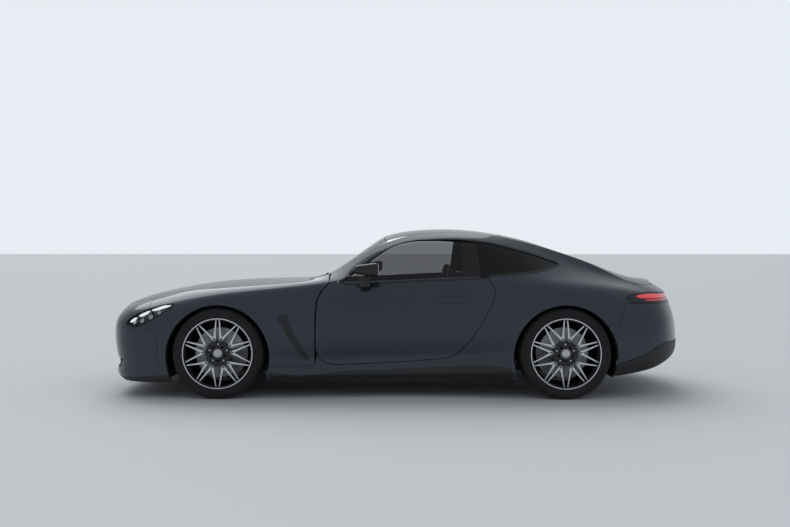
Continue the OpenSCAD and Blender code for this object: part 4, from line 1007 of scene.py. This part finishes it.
# %% Rim, hub, disc and tyre
def make_wheel(name, half, shaft):
    face = half - 0.006
    ring = lathe([(RIM - 0.0105, face - 0.002), (RIM - 0.009, face), (RIM - 0.0015, face),
                  (RIM, face - 0.0015),
                  (RIM, face - 0.007), (RIM - 0.0105, face - 0.007)], "gloss_black", "ring", 128)
    turned_face(ring, face)
    ribs = []
    for k in range(RIBS):
        z = half - 0.030 - k * (2 * half - 0.075) / RIBS
        ribs += [(RIM - 0.019 - 0.0012 * k, z), (RIM - 0.0215 - 0.0012 * k, z - 0.006)]
    barrel = lathe([(RIM - 0.0015, face - 0.006), (RIM - 0.0115, face - 0.006), (RIM - 0.016, half - 0.024),
                    *ribs,
                    (RIM - 0.030, 0.035 - half), (RIM - 0.022, 0.006 - half), (RIM - 0.001, 0.006 - half),
                    (RIM - 0.001, 0.012 - half), (RIM - 0.011, 0.018 - half), (RIM - 0.009, half - 0.020)],
                   "pocket", "barrel", 96)
    spokes = make_spokes(half)
    # hub: a dark bowl with five lug pockets, then the plain silver cap
    high = half - 0.030
    hub = rod((0, 0, high - 0.021), 0.36 * RIM, 0.030, "Z", "gloss_black", 80, "hub")
    nuts = []
    for k in range(LUGS):
        spot = polar(0.255 * RIM, 90 + 360 / LUGS * k)
        carve(hub, rod((*spot, high - 0.006), 0.0125, 0.040, "Z", "pocket", 32))
        nut = rod((*spot, high - 0.018), 0.0085, 0.018, "Z", "satin_silver", 6, "nut")
        nuts.append(bevel(nut, 0.001, 2))
    bevel(hub, 0.002, 2, 30)
    cap = lathe([(0, high + 0.016), (0.018, high + 0.0155), (0.030, high + 0.013), (0.0335, high + 0.010),
                 (0.0345, high - 0.006), (0, high - 0.006)], "satin_silver", "cap", 64)
    collar = lathe([(0.030, high - 0.004), (0.030, high + 0.006), (0.046, high + 0.004),
                    (0.049, high - 0.004)],
                   "pocket", "collar", 64)
    disc = lathe([(0.195, 0.004), (0.195, 0.028), (0.1935, 0.0285), (0.098, 0.0285), (0.095, 0.030),
                  (0.070, 0.036), (0.060, 0.042), (0.060, -0.006), (0.090, -0.006), (0.195, -0.006)],
                 "disc_steel", "disc", 96)
    # the disc's drilled holes are not cut: thin dark dots laid on its face are painted shade of the holes
    hole_shade_dots = []
    for k, radius in enumerate((0.118, 0.140, 0.162, 0.180)):
        hole = rod((*polar(radius, 90 + 8 * k), 0.0288), 0.0032, 0.0008, "Z", "pocket", 12, "hole")
        hole_shade_dots.append(copies(hole, 12))
    axle = rod((0, 0, 0.017 - shaft / 2), 0.0302, 0.046 + shaft, "Z", "cast_metal", 48, "axle")
    hat = rod((0, 0, high / 2 + 0.001), 0.066, high - 0.064, "Z", "gloss_black", 64, "hat")
    wheel = smooth(join(name, [ring, barrel, spokes, hub, *nuts, cap, collar, disc, *hole_shade_dots, axle, hat]), 32)
    # the turned rings follow the distance from the axle
    rings = wheel.data.uv_layers.new(name="turned")
    corners = np.empty(len(wheel.data.loops), int)
    wheel.data.loops.foreach_get("vertex_index", corners)
    at = coords(wheel)[corners]
    flat = np.stack([np.hypot(at[:, 0], at[:, 1]), np.arctan2(at[:, 1], at[:, 0])], 1)
    rings.data.foreach_set("uv", flat.ravel())
    return wheel


def make_tyre(name, half):
    side = half - 0.0006
    wall = [(0.2755, side - 0.008), (0.2790, side - 0.003), (0.2840, side - 0.0012), (0.2880, side - 0.0012),
            (0.2895, side - 0.0030), (0.3010, side - 0.0012), (0.3150, side), (0.3165, side - 0.0018),
            (0.3190, side - 0.0018), (0.3205, side - 0.0006), (0.3290, side - 0.0040),
            (0.3375, side - 0.0090),
            (0.3385, side - 0.0115), (0.3440, side - 0.0150), (0.3500, side - 0.0230),
            (0.3530, side - 0.0320)]
    tread = []
    for z in (0.088, 0.036):
        tread += [(0.3548, z + 0.006), (0.3480, z + 0.0045), (0.3480, z - 0.0045), (0.3548, z - 0.006)]
    across = wall + tread + [(r, -z) for r, z in tread[::-1]] + [(r, -z) for r, z in wall[::-1]]
    tyre = lathe(across + [(0.2680, -half + 0.02), (0.2665, 0), (0.2680, half - 0.02)], "rubber", name, 160)
    # short cuts across each shoulder
    notch = [(0.330, -0.0012), (0.360, -0.0018), (0.360, 0.0018), (0.330, 0.0012)]
    pair = [bar(notch, low, low + half - 0.110, "rubber", "cut") for low in (0.098, 0.012 - half)]
    carve(tyre, copies(join("cut", pair), 60))
    return smooth(tyre, 30)


def to_place(piece, x, y):
    """Turns a wheel from facing up to facing left, on its axle."""
    piece.data.transform(Matrix(((1, 0, 0, x), (0, 0, -1, y), (0, 1, 0, TYRE_RADIUS), (0, 0, 0, 1))))
    return piece


FRONT_Y, REAR_Y = 0.8005, 0.8185
WHEELS = {}
SIZES = ("front", AXLES[0], FRONT_Y, 0.1475, 0.060), ("rear", AXLES[1], REAR_Y, 0.1525, 0.290)
for end, x, y, half, shaft in SIZES:
    left = to_place(make_wheel("wheel_skin_%s_left" % end, half, shaft), x, -y)
    tyre = to_place(make_tyre("tyre_skin_%s_left" % end, half), x, -y)
    WHEELS["wheel_%s_left" % end] = left
    WHEELS["wheel_%s_right" % end] = twin(left, "wheel_skin_%s_right" % end)
    WHEELS["tyre_%s_left" % end] = tyre
    WHEELS["tyre_%s_right" % end] = twin(tyre, "tyre_skin_%s_right" % end)
    print(end, "wheel", len(left.data.polygons), "tyre", len(tyre.data.polygons))

# %% [markdown]
# ## Lamps, mirrors and trim
# Everything on the outside follows the same skin, lifted or sunk by a few millimetres.

# %% Fitting pieces to their bodies
NODE_SLOTS = {part["node"]: part["material_slot"] for part in frame["record"]["subparts"]}


def fit(piece, body, *nodes, slot=None):
    """Puts a piece on its body, in place of its CAD node, which it hides."""
    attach(piece, body)
    if nodes:
        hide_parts(*nodes)
        slot = slot or NODE_SLOTS[nodes[0]]
    return piece


def patch(name, side, outline, spans, counts, lift, thick, skins, grow=0.0, soft=0, cut=()):
    """A piece of trim on one flank, over a side-view outline."""
    out = (0, side, 0)
    surface = lifted(flank(side), lift, out)
    return panel(name, surface, spans, counts, thick, keep=[through(side, outline, grow, soft)], cut=cut,
                 out=out, skins=(skins, skins))


def circle(x, z, radius, count=28):
    angles = np.linspace(0, math.tau, count, endpoint=False)
    return [(x + radius * math.cos(a), z + radius * math.sin(a)) for a in angles]


# %% Headlights and tail lights
NEAR_LAMP, NEAR_TAIL = ((1.8, 5.4), (4, 11)), ((16.3, 21.4), (6, 11))
LAMP_POCKET = [(-362, 728), (-400, 694), (-500, 632), (-624, 566), (-722, 575), (-711, 611), (-635, 652),
               (-536, 690), (-434, 726)]
DAY_LIGHTS = ([(-540, 680), (-526, 698), (-440, 727), (-380, 730), (-386, 716), (-440, 700), (-500, 680)],
              [(-640, 634), (-626, 654), (-560, 682), (-550, 676), (-566, 655), (-610, 634)],
              [(-708, 590), (-698, 608), (-662, 630), (-652, 624), (-664, 606), (-692, 588)])
TAIL_LIGHTS = ([(3262, 791), (3300, 806), (3420, 812), (3504, 806), (3700, 800), (3700, 778), (3330, 776)],
               [(3335, 768), (3700, 769), (3700, 760), (3350, 758)])
LAMP_EYES = (-668, 592, 17), (-604, 606, 18), (-536, 634, 18), (-470, 668, 15)
FINE = (120, 70)
for side, word in SIDES:
    pocket = patch("pocket", side, LAMP_POCKET, NEAR_LAMP, (70, 40), 0.012, 0.044, "gloss_black")
    bowl = patch("headlight_bowl_" + word, side, HEADLIGHT, NEAR_LAMP, (90, 60), -0.006, 0.046,
                 "gloss_black", -0.0016, 1, cut=[pocket])
    lights = [patch("day_light_%d_%s" % (k, word), side, shape, NEAR_LAMP, FINE, -0.012, 0.02,
                    "day_light", 0, 2) for k, shape in enumerate(DAY_LIGHTS)]
    for x, z, radius in LAMP_EYES:
        ring = patch("ring", side, circle(x, z, radius), NEAR_LAMP, FINE, -0.020, 0.014, "satin_silver",
                     cut=[through(side, circle(x, z, radius - 3.5))])
        eye = patch("eye", side, circle(x, z, radius - 3), NEAR_LAMP, FINE, -0.023, 0.010, "reflector")
        lights += [ring, eye]
    lens = patch("headlight_lens_" + word, side, HEADLIGHT, NEAR_LAMP, (110, 70), 0, 0.003,
                 "lamp_glass", -0.0012, 1)
    fit(join("headlight_inner_" + word, [bowl, *lights]), "body_shell", "headlights", slot="gloss_black")
    fit(lens, "body_shell", "headlights")
    base = patch("taillight_base_" + word, side, TAILLIGHT, NEAR_TAIL, (120, 40), -0.001, 0.03,
                 "gloss_black", -0.0006, 1)
    glow = [patch("glow", side, shape, NEAR_TAIL, (150, 60), 0.0006, 0.008, "red_light", 0, 1)
            for shape in TAIL_LIGHTS]
    fit(join("taillight_" + word, [base, *glow]), "body_shell", "taillights")
print("lamps done")

# %% Window surround, pillars, vents, sills and handles
VENT = [(470, 652), (500, 660), (533, 656), (546, 636), (552, 600), (566, 560), (640, 425), (706, 318),
        (694, 300),
        (668, 306), (600, 405), (535, 505), (512, 565), (480, 600)]
VENT_FIN = [(548, 560), (560, 566), (690, 330), (678, 322)]
SILL = [(400, 60), (400, 214), (627, 178), (977, 216), (1390, 231), (2060, 266), (2280, 246), (2300, 60)]
HANDLE = [(1722, 752), (1712, 770), (1722, 788), (1760, 796), (1920, 800), (1952, 790), (1958, 776),
          (1946, 760),
          (1900, 752), (1780, 746)]
PILLAR = [(1905, 880), (2120, 880), (2052, 1300), (1940, 1300)]
SPLITTER = [(-1000, 60), (-1000, 150), (-900, 158), (-700, 160), (-480, 176), (-330, 205), (-330, 60)]
NEAR_VENT, NEAR_HANDLE = ((7, 9), (1.5, 9)), ((11, 13), (5.5, 9.5))
NEAR_DOOR = (station_at(720), station_at(2200)), (1.2, 10.2)
LINER_RADIUS, LINER_THICK = 0.404, 0.008
for side, word in SIDES:
    body, door = "body_shell", "door_" + word
    hole = through(side, WINDOW, -0.001, 1)
    ring = patch("ring", side, WINDOW, ((8, 16.5), (8, 12)), (160, 50), 0.0016, 0.006, "gloss_black",
                 0.013, 1, cut=[hole])
    belt = ring.copy()
    belt.data = ring.data.copy()
    bpy.context.scene.collection.objects.link(belt)
    fit(carve(ring, door_cut(side)), body).name = "window_trim_" + word
    carve(belt, through(side, DOOR, -0.0005, 2), "INTERSECT")
    if len(belt.data.polygons):
        fit(belt, door).name = "belt_trim_" + word
    else:
        remove(belt)
    fit(patch("pillar_cover_" + word, side, PILLAR, ((11.5, 14.5), (8, 12)), (50, 40), -0.012, 0.05,
              "cabin_plastic", cut=[door_cut(side)]), body)
    fit(patch("vent_" + word, side, VENT, NEAR_VENT, (90, 90), 0.0012, 0.006, "black_plastic", 0.003, 1,
              cut=[door_cut(side)]), body)
    fit(patch("vent_fin_" + word, side, VENT_FIN, NEAR_VENT, (90, 90), 0.0030, 0.003, "gloss_black"), body)
    fit(patch("sill_trim_" + word, side, SILL, ((7, 14), (0, 4)), (140, 24), 0.0016, 0.006,
              "gloss_black"), body)
    fit(patch("splitter_" + word, side, SPLITTER, ((0, 6), (0, 3)), (100, 24), 0.0016, 0.006,
              "black_plastic", cut=[arch(side, AXLES[0])]), body)
    fit(patch("handle_recess_" + word, side, HANDLE, NEAR_HANDLE, (60, 50), 0.0006, 0.003, "pocket",
              0.006, 2), door)
    fit(patch("handle_" + word, side, HANDLE, NEAR_HANDLE, (60, 50), 0.0040, 0.006, "body_paint",
              0, 2), door)
    fit(patch("door_trim_" + word, side, DOOR, NEAR_DOOR, (60, 40), -0.031, 0.055, "cabin_plastic",
              -0.024, 2), door)
    # arch liners
    for x in AXLES:
        y = side * 0.68
        shell = rod((x, y, ARCH_Z), LINER_RADIUS + LINER_THICK, 0.42, material="black_plastic", sides=96,
                    name="liner")
        carve(shell, rod((x, side * 0.70, ARCH_Z), LINER_RADIUS, 0.44, material="black_plastic"))
        carve(shell, block((x - 0.5, y - 0.3, -0.2), (x + 0.5, y + 0.3, 0.165), "black_plastic"))
        fit(smooth(shell, 30), body).name = "arch_liner_%s_%s" % ("front" if x < 0 else "rear", word)
print("trim done")

# %% Mirrors
MIRROR_X, MIRROR_Y = BASE_X + 1.155, 0.985
MIRROR_FOOT = [(1105, 866), (1185, 872), (1180, 925), (1160, 965), (1110, 960), (1098, 920)]
for side, word in SIDES:
    x, y = MIRROR_X, side * MIRROR_Y
    case = block((x - 0.095, y - 0.0615, 0.951), (x + 0.095, y + 0.0615, 1.063), "gloss_black", "case")
    edit(case, lambda face: face.normal.x < -0.9)
    bpy.ops.transform.resize(value=(1, 0.62, 0.55))
    leave()
    bevel(case, 0.030, 5)
    foot = prism(np.array(MIRROR_FOOT) * MM + (BASE_X, 0), "XZ", *sorted((side * 0.888, side * 0.958)),
                 "gloss_black")
    bevel(foot, 0.008, 3)
    glass = block((x + 0.092, y - 0.050, 0.962), (x + 0.0965, y + 0.050, 1.052), "reflector", "glass")
    bevel(glass, 0.012, 4, 80)
    fit(smooth(join("mirror_skin_" + word, [case, foot, glass]), 30), "door_" + word, "mirror_" + word)

# %% Grille, wipers
def slats(outlines, pieces):
    return carve(join("cutter", pieces), join("cutter", outlines), "INTERSECT")


front, back = NOSE_DEPTH
ACROSS = -10 / 3, 10 / 3
grille_in = [prism(seen_from_front(GRILLE, 0.004), "YZ", *NOSE_DEPTH)]
upright = [block((front + 0.05, y - 0.004, 0.30), (back - 0.05, y + 0.004, 0.62))
           for y in np.arange(-0.375, 0.38, 0.03)]
bars = panel("grille_bars", lifted(flank(1), -0.010, FORWARD), (ACROSS, (0.8, 8.8)), (160, 60), 0.014,
             keep=[slats(grille_in, upright)], out=FORWARD, skins=("gloss_black", "gloss_black"))
low_outlines = (seen_from_front(LOWER_INTAKE, 0.004), seen_from_front(SIDE_INTAKE, 0.004),
                seen_from_front(SIDE_INTAKE, 0.004, True))
low_in = [prism(outline, "YZ", *NOSE_DEPTH) for outline in low_outlines]
level = [block((front + 0.05, -0.85, z - 0.003), (back - 0.05, 0.85, z + 0.003))
         for z in (0.215, 0.243, 0.271, 0.299)]
low_bars = panel("intake_bars", lifted(flank(1), -0.012, FORWARD), (ACROSS, (0.8, 5)), (160, 50), 0.014,
                 keep=[slats(low_in, level)], out=FORWARD, skins=BLACK_PLASTIC)
backing = panel("grille_back", lifted(flank(1), -0.030, FORWARD), (ACROSS, (0.8, 8.8)), (80, 40), 0.006,
                keep=[intakes(0.014)], out=FORWARD, skins=("pocket", "pocket"))
fit(join("grille_skin", [bars, low_bars, backing]), "body_shell", "front_grille")


WIPER_BOW = 112


def wiper_part(name, start, end, span, counts, lift, thick, material):
    """A strip between two bowed lines across the car, lifted off the skin."""
    surface = lifted(lid((start, WIPER_BOW), (end, WIPER_BOW), 0.006), lift, UP)
    return panel(name, surface, (span, (0, 1)), counts, thick, skins=(material, material))


wipers = []
for low, high in ((-0.82, -0.12), (-0.02, 0.66)):
    middle = (low + high) / 2
    thin, broad = [(middle - half, middle + half) for half in (0.012, 0.03)]
    wipers += [wiper_part("blade", 756, 764, (low, high), (40, 2), 0.012, 0.010, "rubber"),
               wiper_part("arm", 706, 766, thin, (3, 10), 0.020, 0.008, "black_plastic"),
               wiper_part("arm", 702, 716, broad, (6, 4), 0.020, 0.022, "black_plastic")]
fit(join("wipers", wipers), "body_shell")
print("mirrors, grille and wipers done")

# %% [markdown]
# ## Cabin
# Each cushion starts a little slim, as a loft with its own bolsters, and air pressure in a
# cloth simulation fills it out. The sewn channels are pressed in afterwards.

# %% Lofted pads
def rounded(angle, power):
    c, s = math.cos(angle), math.sin(angle)
    return math.copysign(abs(c) ** power, c), math.copysign(abs(s) ** power, s)


def loft(name, path, bolster=0.0, around=64, steps=40, material="leather"):
    """A pad along a line of (x, z, half width, thickness) in car millimetres, facing up or forward."""
    path = np.array(path, float)
    along = np.concatenate([[0], np.cumsum(np.hypot(*np.diff(path[:, :2], axis=0).T))])
    t = np.linspace(0, along[-1], steps)
    x, z, wide, thick = [np.interp(t, along, path[:, k]) * MM for k in range(4)]
    x = x + BASE_X
    tangent = np.stack([np.gradient(x), np.gradient(z)])
    tangent /= np.hypot(*tangent)
    points, faces = [], []
    for k in range(steps):
        end = min(k, steps - 1 - k) / (steps * 0.13)
        fill = math.sqrt(1 - max(0.0, 1 - end) ** 2) if end < 1 else 1.0
        for a in np.linspace(0, math.tau, around, endpoint=False):
            across, up = rounded(a, 0.55)
            rise = bolster * max(0.0, min(1.0, (abs(across) - 0.52) / 0.22)) if up > 0 else 0.0
            high = up * (thick[k] / 2 + rise) * max(fill, 0.12)
            y = across * wide[k] * (0.90 + 0.10 * fill)
            points.append((x[k] - tangent[1, k] * high, y, z[k] + tangent[0, k] * high))
    for k in range(steps - 1):
        for m in range(around):
            n = (m + 1) % around
            faces.append((k * around + m, k * around + n, (k + 1) * around + n, (k + 1) * around + m))
    faces += [tuple(range(around))[::-1], tuple(range((steps - 1) * around, steps * around))]
    mesh = bpy.data.meshes.new(name)
    mesh.from_pydata(points, [], faces)
    piece = bpy.data.objects.new(name, mesh)
    bpy.context.scene.collection.objects.link(piece)
    paint(piece, M[material])
    edit(piece)
    bpy.ops.mesh.normals_make_consistent(inside=False)
    leave()
    return piece


def inflate(piece, voxel=0.010, cap=0.012):
    """Fills a pad with air: remesh, let the pressure push it out, hold the points near home."""
    apply(piece, "REMESH", mode="VOXEL", voxel_size=voxel)
    home = coords(piece)
    use(piece)
    cloth = piece.modifiers.new("Cloth", "CLOTH")
    cloth.settings.use_pressure = True
    cloth.settings.uniform_pressure_force = 4
    cloth.settings.quality = 5
    cloth.settings.mass = 0.3
    cloth.settings.effector_weights.gravity = 0
    cloth.point_cache.frame_start, cloth.point_cache.frame_end = 1, 20
    for frame_number in range(1, 21):
        bpy.context.scene.frame_set(frame_number)
    bpy.ops.object.modifier_apply(modifier=cloth.name)
    bpy.context.scene.frame_set(1)
    moved_by = coords(piece) - home
    length = np.linalg.norm(moved_by, axis=1, keepdims=True)
    set_coords(piece, home + moved_by * np.minimum(1, cap / np.maximum(length, 1e-9)))
    apply(piece, "SUBSURF", levels=1, render_levels=1)
    return smooth(piece, 60)


def sew(piece, lines, depth=0.006, width=0.007):
    """Presses in seams: each line is a function that says how far a point is from it."""
    points = coords(piece)
    normals = np.empty(len(piece.data.vertices) * 3)
    piece.data.vertices.foreach_get("normal", normals)
    normals = normals.reshape(-1, 3)
    near = np.min([np.abs(line(points)) for line in lines], axis=0)
    set_coords(piece, points - normals * (depth * np.exp(-(near / width) ** 2))[:, None])
    return piece


# %% Front and rear seats, made for the left and mirrored
FRONT_SEAT_Y, REAR_SEAT_Y = 0.370, 0.400
SEAM_Y, CHANNELS = 0.112, 6
CUSHION = [(1222, 352, 176, 70), (1300, 350, 186, 92), (1450, 334, 188, 98), (1600, 320, 184, 96),
           (1712, 322, 172, 84)]
BACK = [(1704, 372, 168, 82), (1730, 470, 180, 88), (1765, 600, 188, 86), (1800, 740, 186, 80),
        (1828, 860, 150, 68), (1838, 905, 112, 56)]
HEADREST = [(1840, 905, 88, 54), (1850, 960, 112, 72), (1862, 1030, 102, 62)]
REAR_CUSHION = [(1965, 372, 166, 70), (2040, 362, 178, 92), (2120, 350, 176, 88), (2166, 348, 168, 78)]
REAR_BACK = [(2180, 425, 166, 74), (2196, 560, 182, 84), (2212, 700, 182, 80), (2224, 812, 160, 62)]
PADS = {"front_cushion": (CUSHION, 0.022, -FRONT_SEAT_Y, "front_seats"),
        "front_back": (BACK, 0.024, -FRONT_SEAT_Y, "front_seats"),
        "front_headrest": (HEADREST, 0.0, -FRONT_SEAT_Y, "front_seats"),
        "rear_cushion": (REAR_CUSHION, 0.012, -REAR_SEAT_Y, "rear_seats"),
        "rear_backrest": (REAR_BACK, 0.014, -REAR_SEAT_Y, "rear_seats")}
for name, (path, bolster, y, node) in PADS.items():
    pad = inflate(loft(name + "_left", path, bolster))
    if "headrest" not in name:
        # a seam along each side, and sewn channels across between them
        axis = 2 if "back" in name else 0
        first, last = (path[k][1] if axis else path[k][0] + BASE_X / MM for k in (0, -1))
        marks = np.linspace(first * MM, last * MM, CHANNELS + 2)[1:-1]
        seams = [lambda p: np.abs(p[:, 1]) - SEAM_Y]
        seams += [lambda p, m=m: np.where(np.abs(p[:, 1]) < SEAM_Y, p[:, axis] - m, 1.0) for m in marks]
        sew(pad, seams)
    set_coords(pad, coords(pad) + (0, y, 0))
    for piece in (pad, twin(pad, name + "_right")):
        fit(piece, "body_shell", node)
BACK_SHELL = [(1722, 380), (1757, 372), (1800, 520), (1858, 760), (1880, 880), (1862, 912), (1846, 880),
              (1806, 700), (1760, 510)]
shells = []
for y in (-FRONT_SEAT_Y, FRONT_SEAT_Y):
    base = block((BASE_X + 1.272, y - 0.142, 0.167), (BASE_X + 1.678, y + 0.142, 0.285), "cabin_plastic",
                 "base")
    shells.append(bevel(base, 0.018, 3))
    back = prism(np.array(BACK_SHELL) * MM + (BASE_X, 0), "XZ", y - 0.165, y + 0.165, "cabin_plastic")
    shells.append(bevel(back, 0.012, 3))
    for post in (-0.05, 0.05):
        shells.append(rod((BASE_X + 1.848, y + post, 0.915), 0.007, 0.12, axis="Z", material="satin_silver",
                          sides=20))
fit(smooth(join("front_seat_shells", shells), 30), "body_shell", "front_seats", slot="cabin_plastic")
rear_base = []
for y in (-REAR_SEAT_Y, REAR_SEAT_Y):
    base = block((BASE_X + 1.992, y - 0.148, 0.167), (BASE_X + 2.158, y + 0.148, 0.31), "cabin_plastic",
                 "base")
    rear_base.append(bevel(base, 0.015, 3))
fit(smooth(join("rear_seat_bases", rear_base), 30), "body_shell", "rear_seats", slot="cabin_plastic")
print("seats done")

# %% Screens and the finish of every CAD piece that stays
display = block((BASE_X + 1.016, -0.50, 0.785), (BASE_X + 1.026, -0.24, 0.865), "gloss_black", "display")
screen = block((BASE_X + 1.062, -0.11, 0.58), (BASE_X + 1.072, 0.11, 0.80), "gloss_black", "screen")
for piece in (display, screen):
    bevel(piece, 0.004, 3)
stalk = block((BASE_X + 1.0, -0.04, 0.64), (BASE_X + 1.066, 0.04, 0.72), "cabin_plastic", "stalk")
fit(smooth(join("screens", [display, screen, stalk]), 30), "body_shell")
KEPT = {"floor_tub": "floor_metal", "front_subframe": "cast_metal", "rear_subframe": "cast_metal",
        "engine_block": "engine_metal", "exhaust_system": "satin_silver", "knuckle_front_left": "cast_metal",
        "knuckle_front_right": "cast_metal", "rear_knuckles": "cast_metal", "dashboard": "cabin_plastic",
        "steering_wheel": "leather", "centre_console": "cabin_plastic"}
for node, material in KEPT.items():
    for slot in bpy.data.objects[node].material_slots:
        slot.material = M[material]
for name, piece in SKINS.items():
    body = {"hood": "hood", "tailgate": "tailgate", "rear_glass": "tailgate"}.get(name, "body_shell")
    if name.startswith("door"):
        body = "door_left" if name.endswith("left") else "door_right"
    # both quarter glasses are one node
    fit(piece, body, "quarter_glass" if name.startswith("quarter_glass") else name)
for name, piece in WHEELS.items():
    fit(piece, name.replace("tyre", "wheel"), name)
print("nodes dressed")

# %% [markdown]
# ## Floor, light and camera
# A pale floor and sky, one soft sun above the car, and the camera beside it.

# %% Stage
deselect()
bpy.ops.mesh.primitive_plane_add(size=1200, location=(0, 0, 0))
floor = bpy.context.object
floor.name = "floor"
paint(floor, finish("floor_paint", (0.66, 0.68, 0.70), 0.75, size=30, depth=0.0002, spread=0.05,
                    blotch=0.02, coat_rough=0.0))
world = bpy.context.scene.world or bpy.data.worlds.new("World")
bpy.context.scene.world = world
world.use_nodes = True
sky = world.node_tree.nodes["Background"]
sky.inputs["Color"].default_value = (0.90, 0.94, 1.0, 1)
sky.inputs["Strength"].default_value = 0.5
out = world.node_tree.nodes["World Output"]
pale = world.node_tree.nodes.new("ShaderNodeBackground")
pale.inputs["Color"].default_value = (0.80, 0.85, 0.90, 1)
seen = world.node_tree.nodes.new("ShaderNodeLightPath")
either = world.node_tree.nodes.new("ShaderNodeMixShader")
ways = math_node(world.node_tree, "MAXIMUM", seen.outputs["Is Camera Ray"],
                 seen.outputs["Is Transmission Ray"])
world.node_tree.links.new(ways, either.inputs["Fac"])
world.node_tree.links.new(sky.outputs[0], either.inputs[1])
world.node_tree.links.new(pale.outputs[0], either.inputs[2])
world.node_tree.links.new(either.outputs[0], out.inputs["Surface"])
bpy.ops.object.light_add(type="SUN", location=(0, 4, 6), rotation=(-0.62, -0.25, 0))
lamp = bpy.context.object
lamp.data.energy = 1.25
lamp.data.angle = 0.9
bpy.ops.object.camera_add(location=(-0.037, -7.57, 1.139), rotation=(math.pi / 2, 0, 0))
camera = bpy.context.object
camera.data.lens = 39
camera.data.sensor_width = 36
camera.data.shift_y = -0.0139
bpy.context.scene.camera = camera
bpy.context.scene.view_settings.view_transform = "Standard"
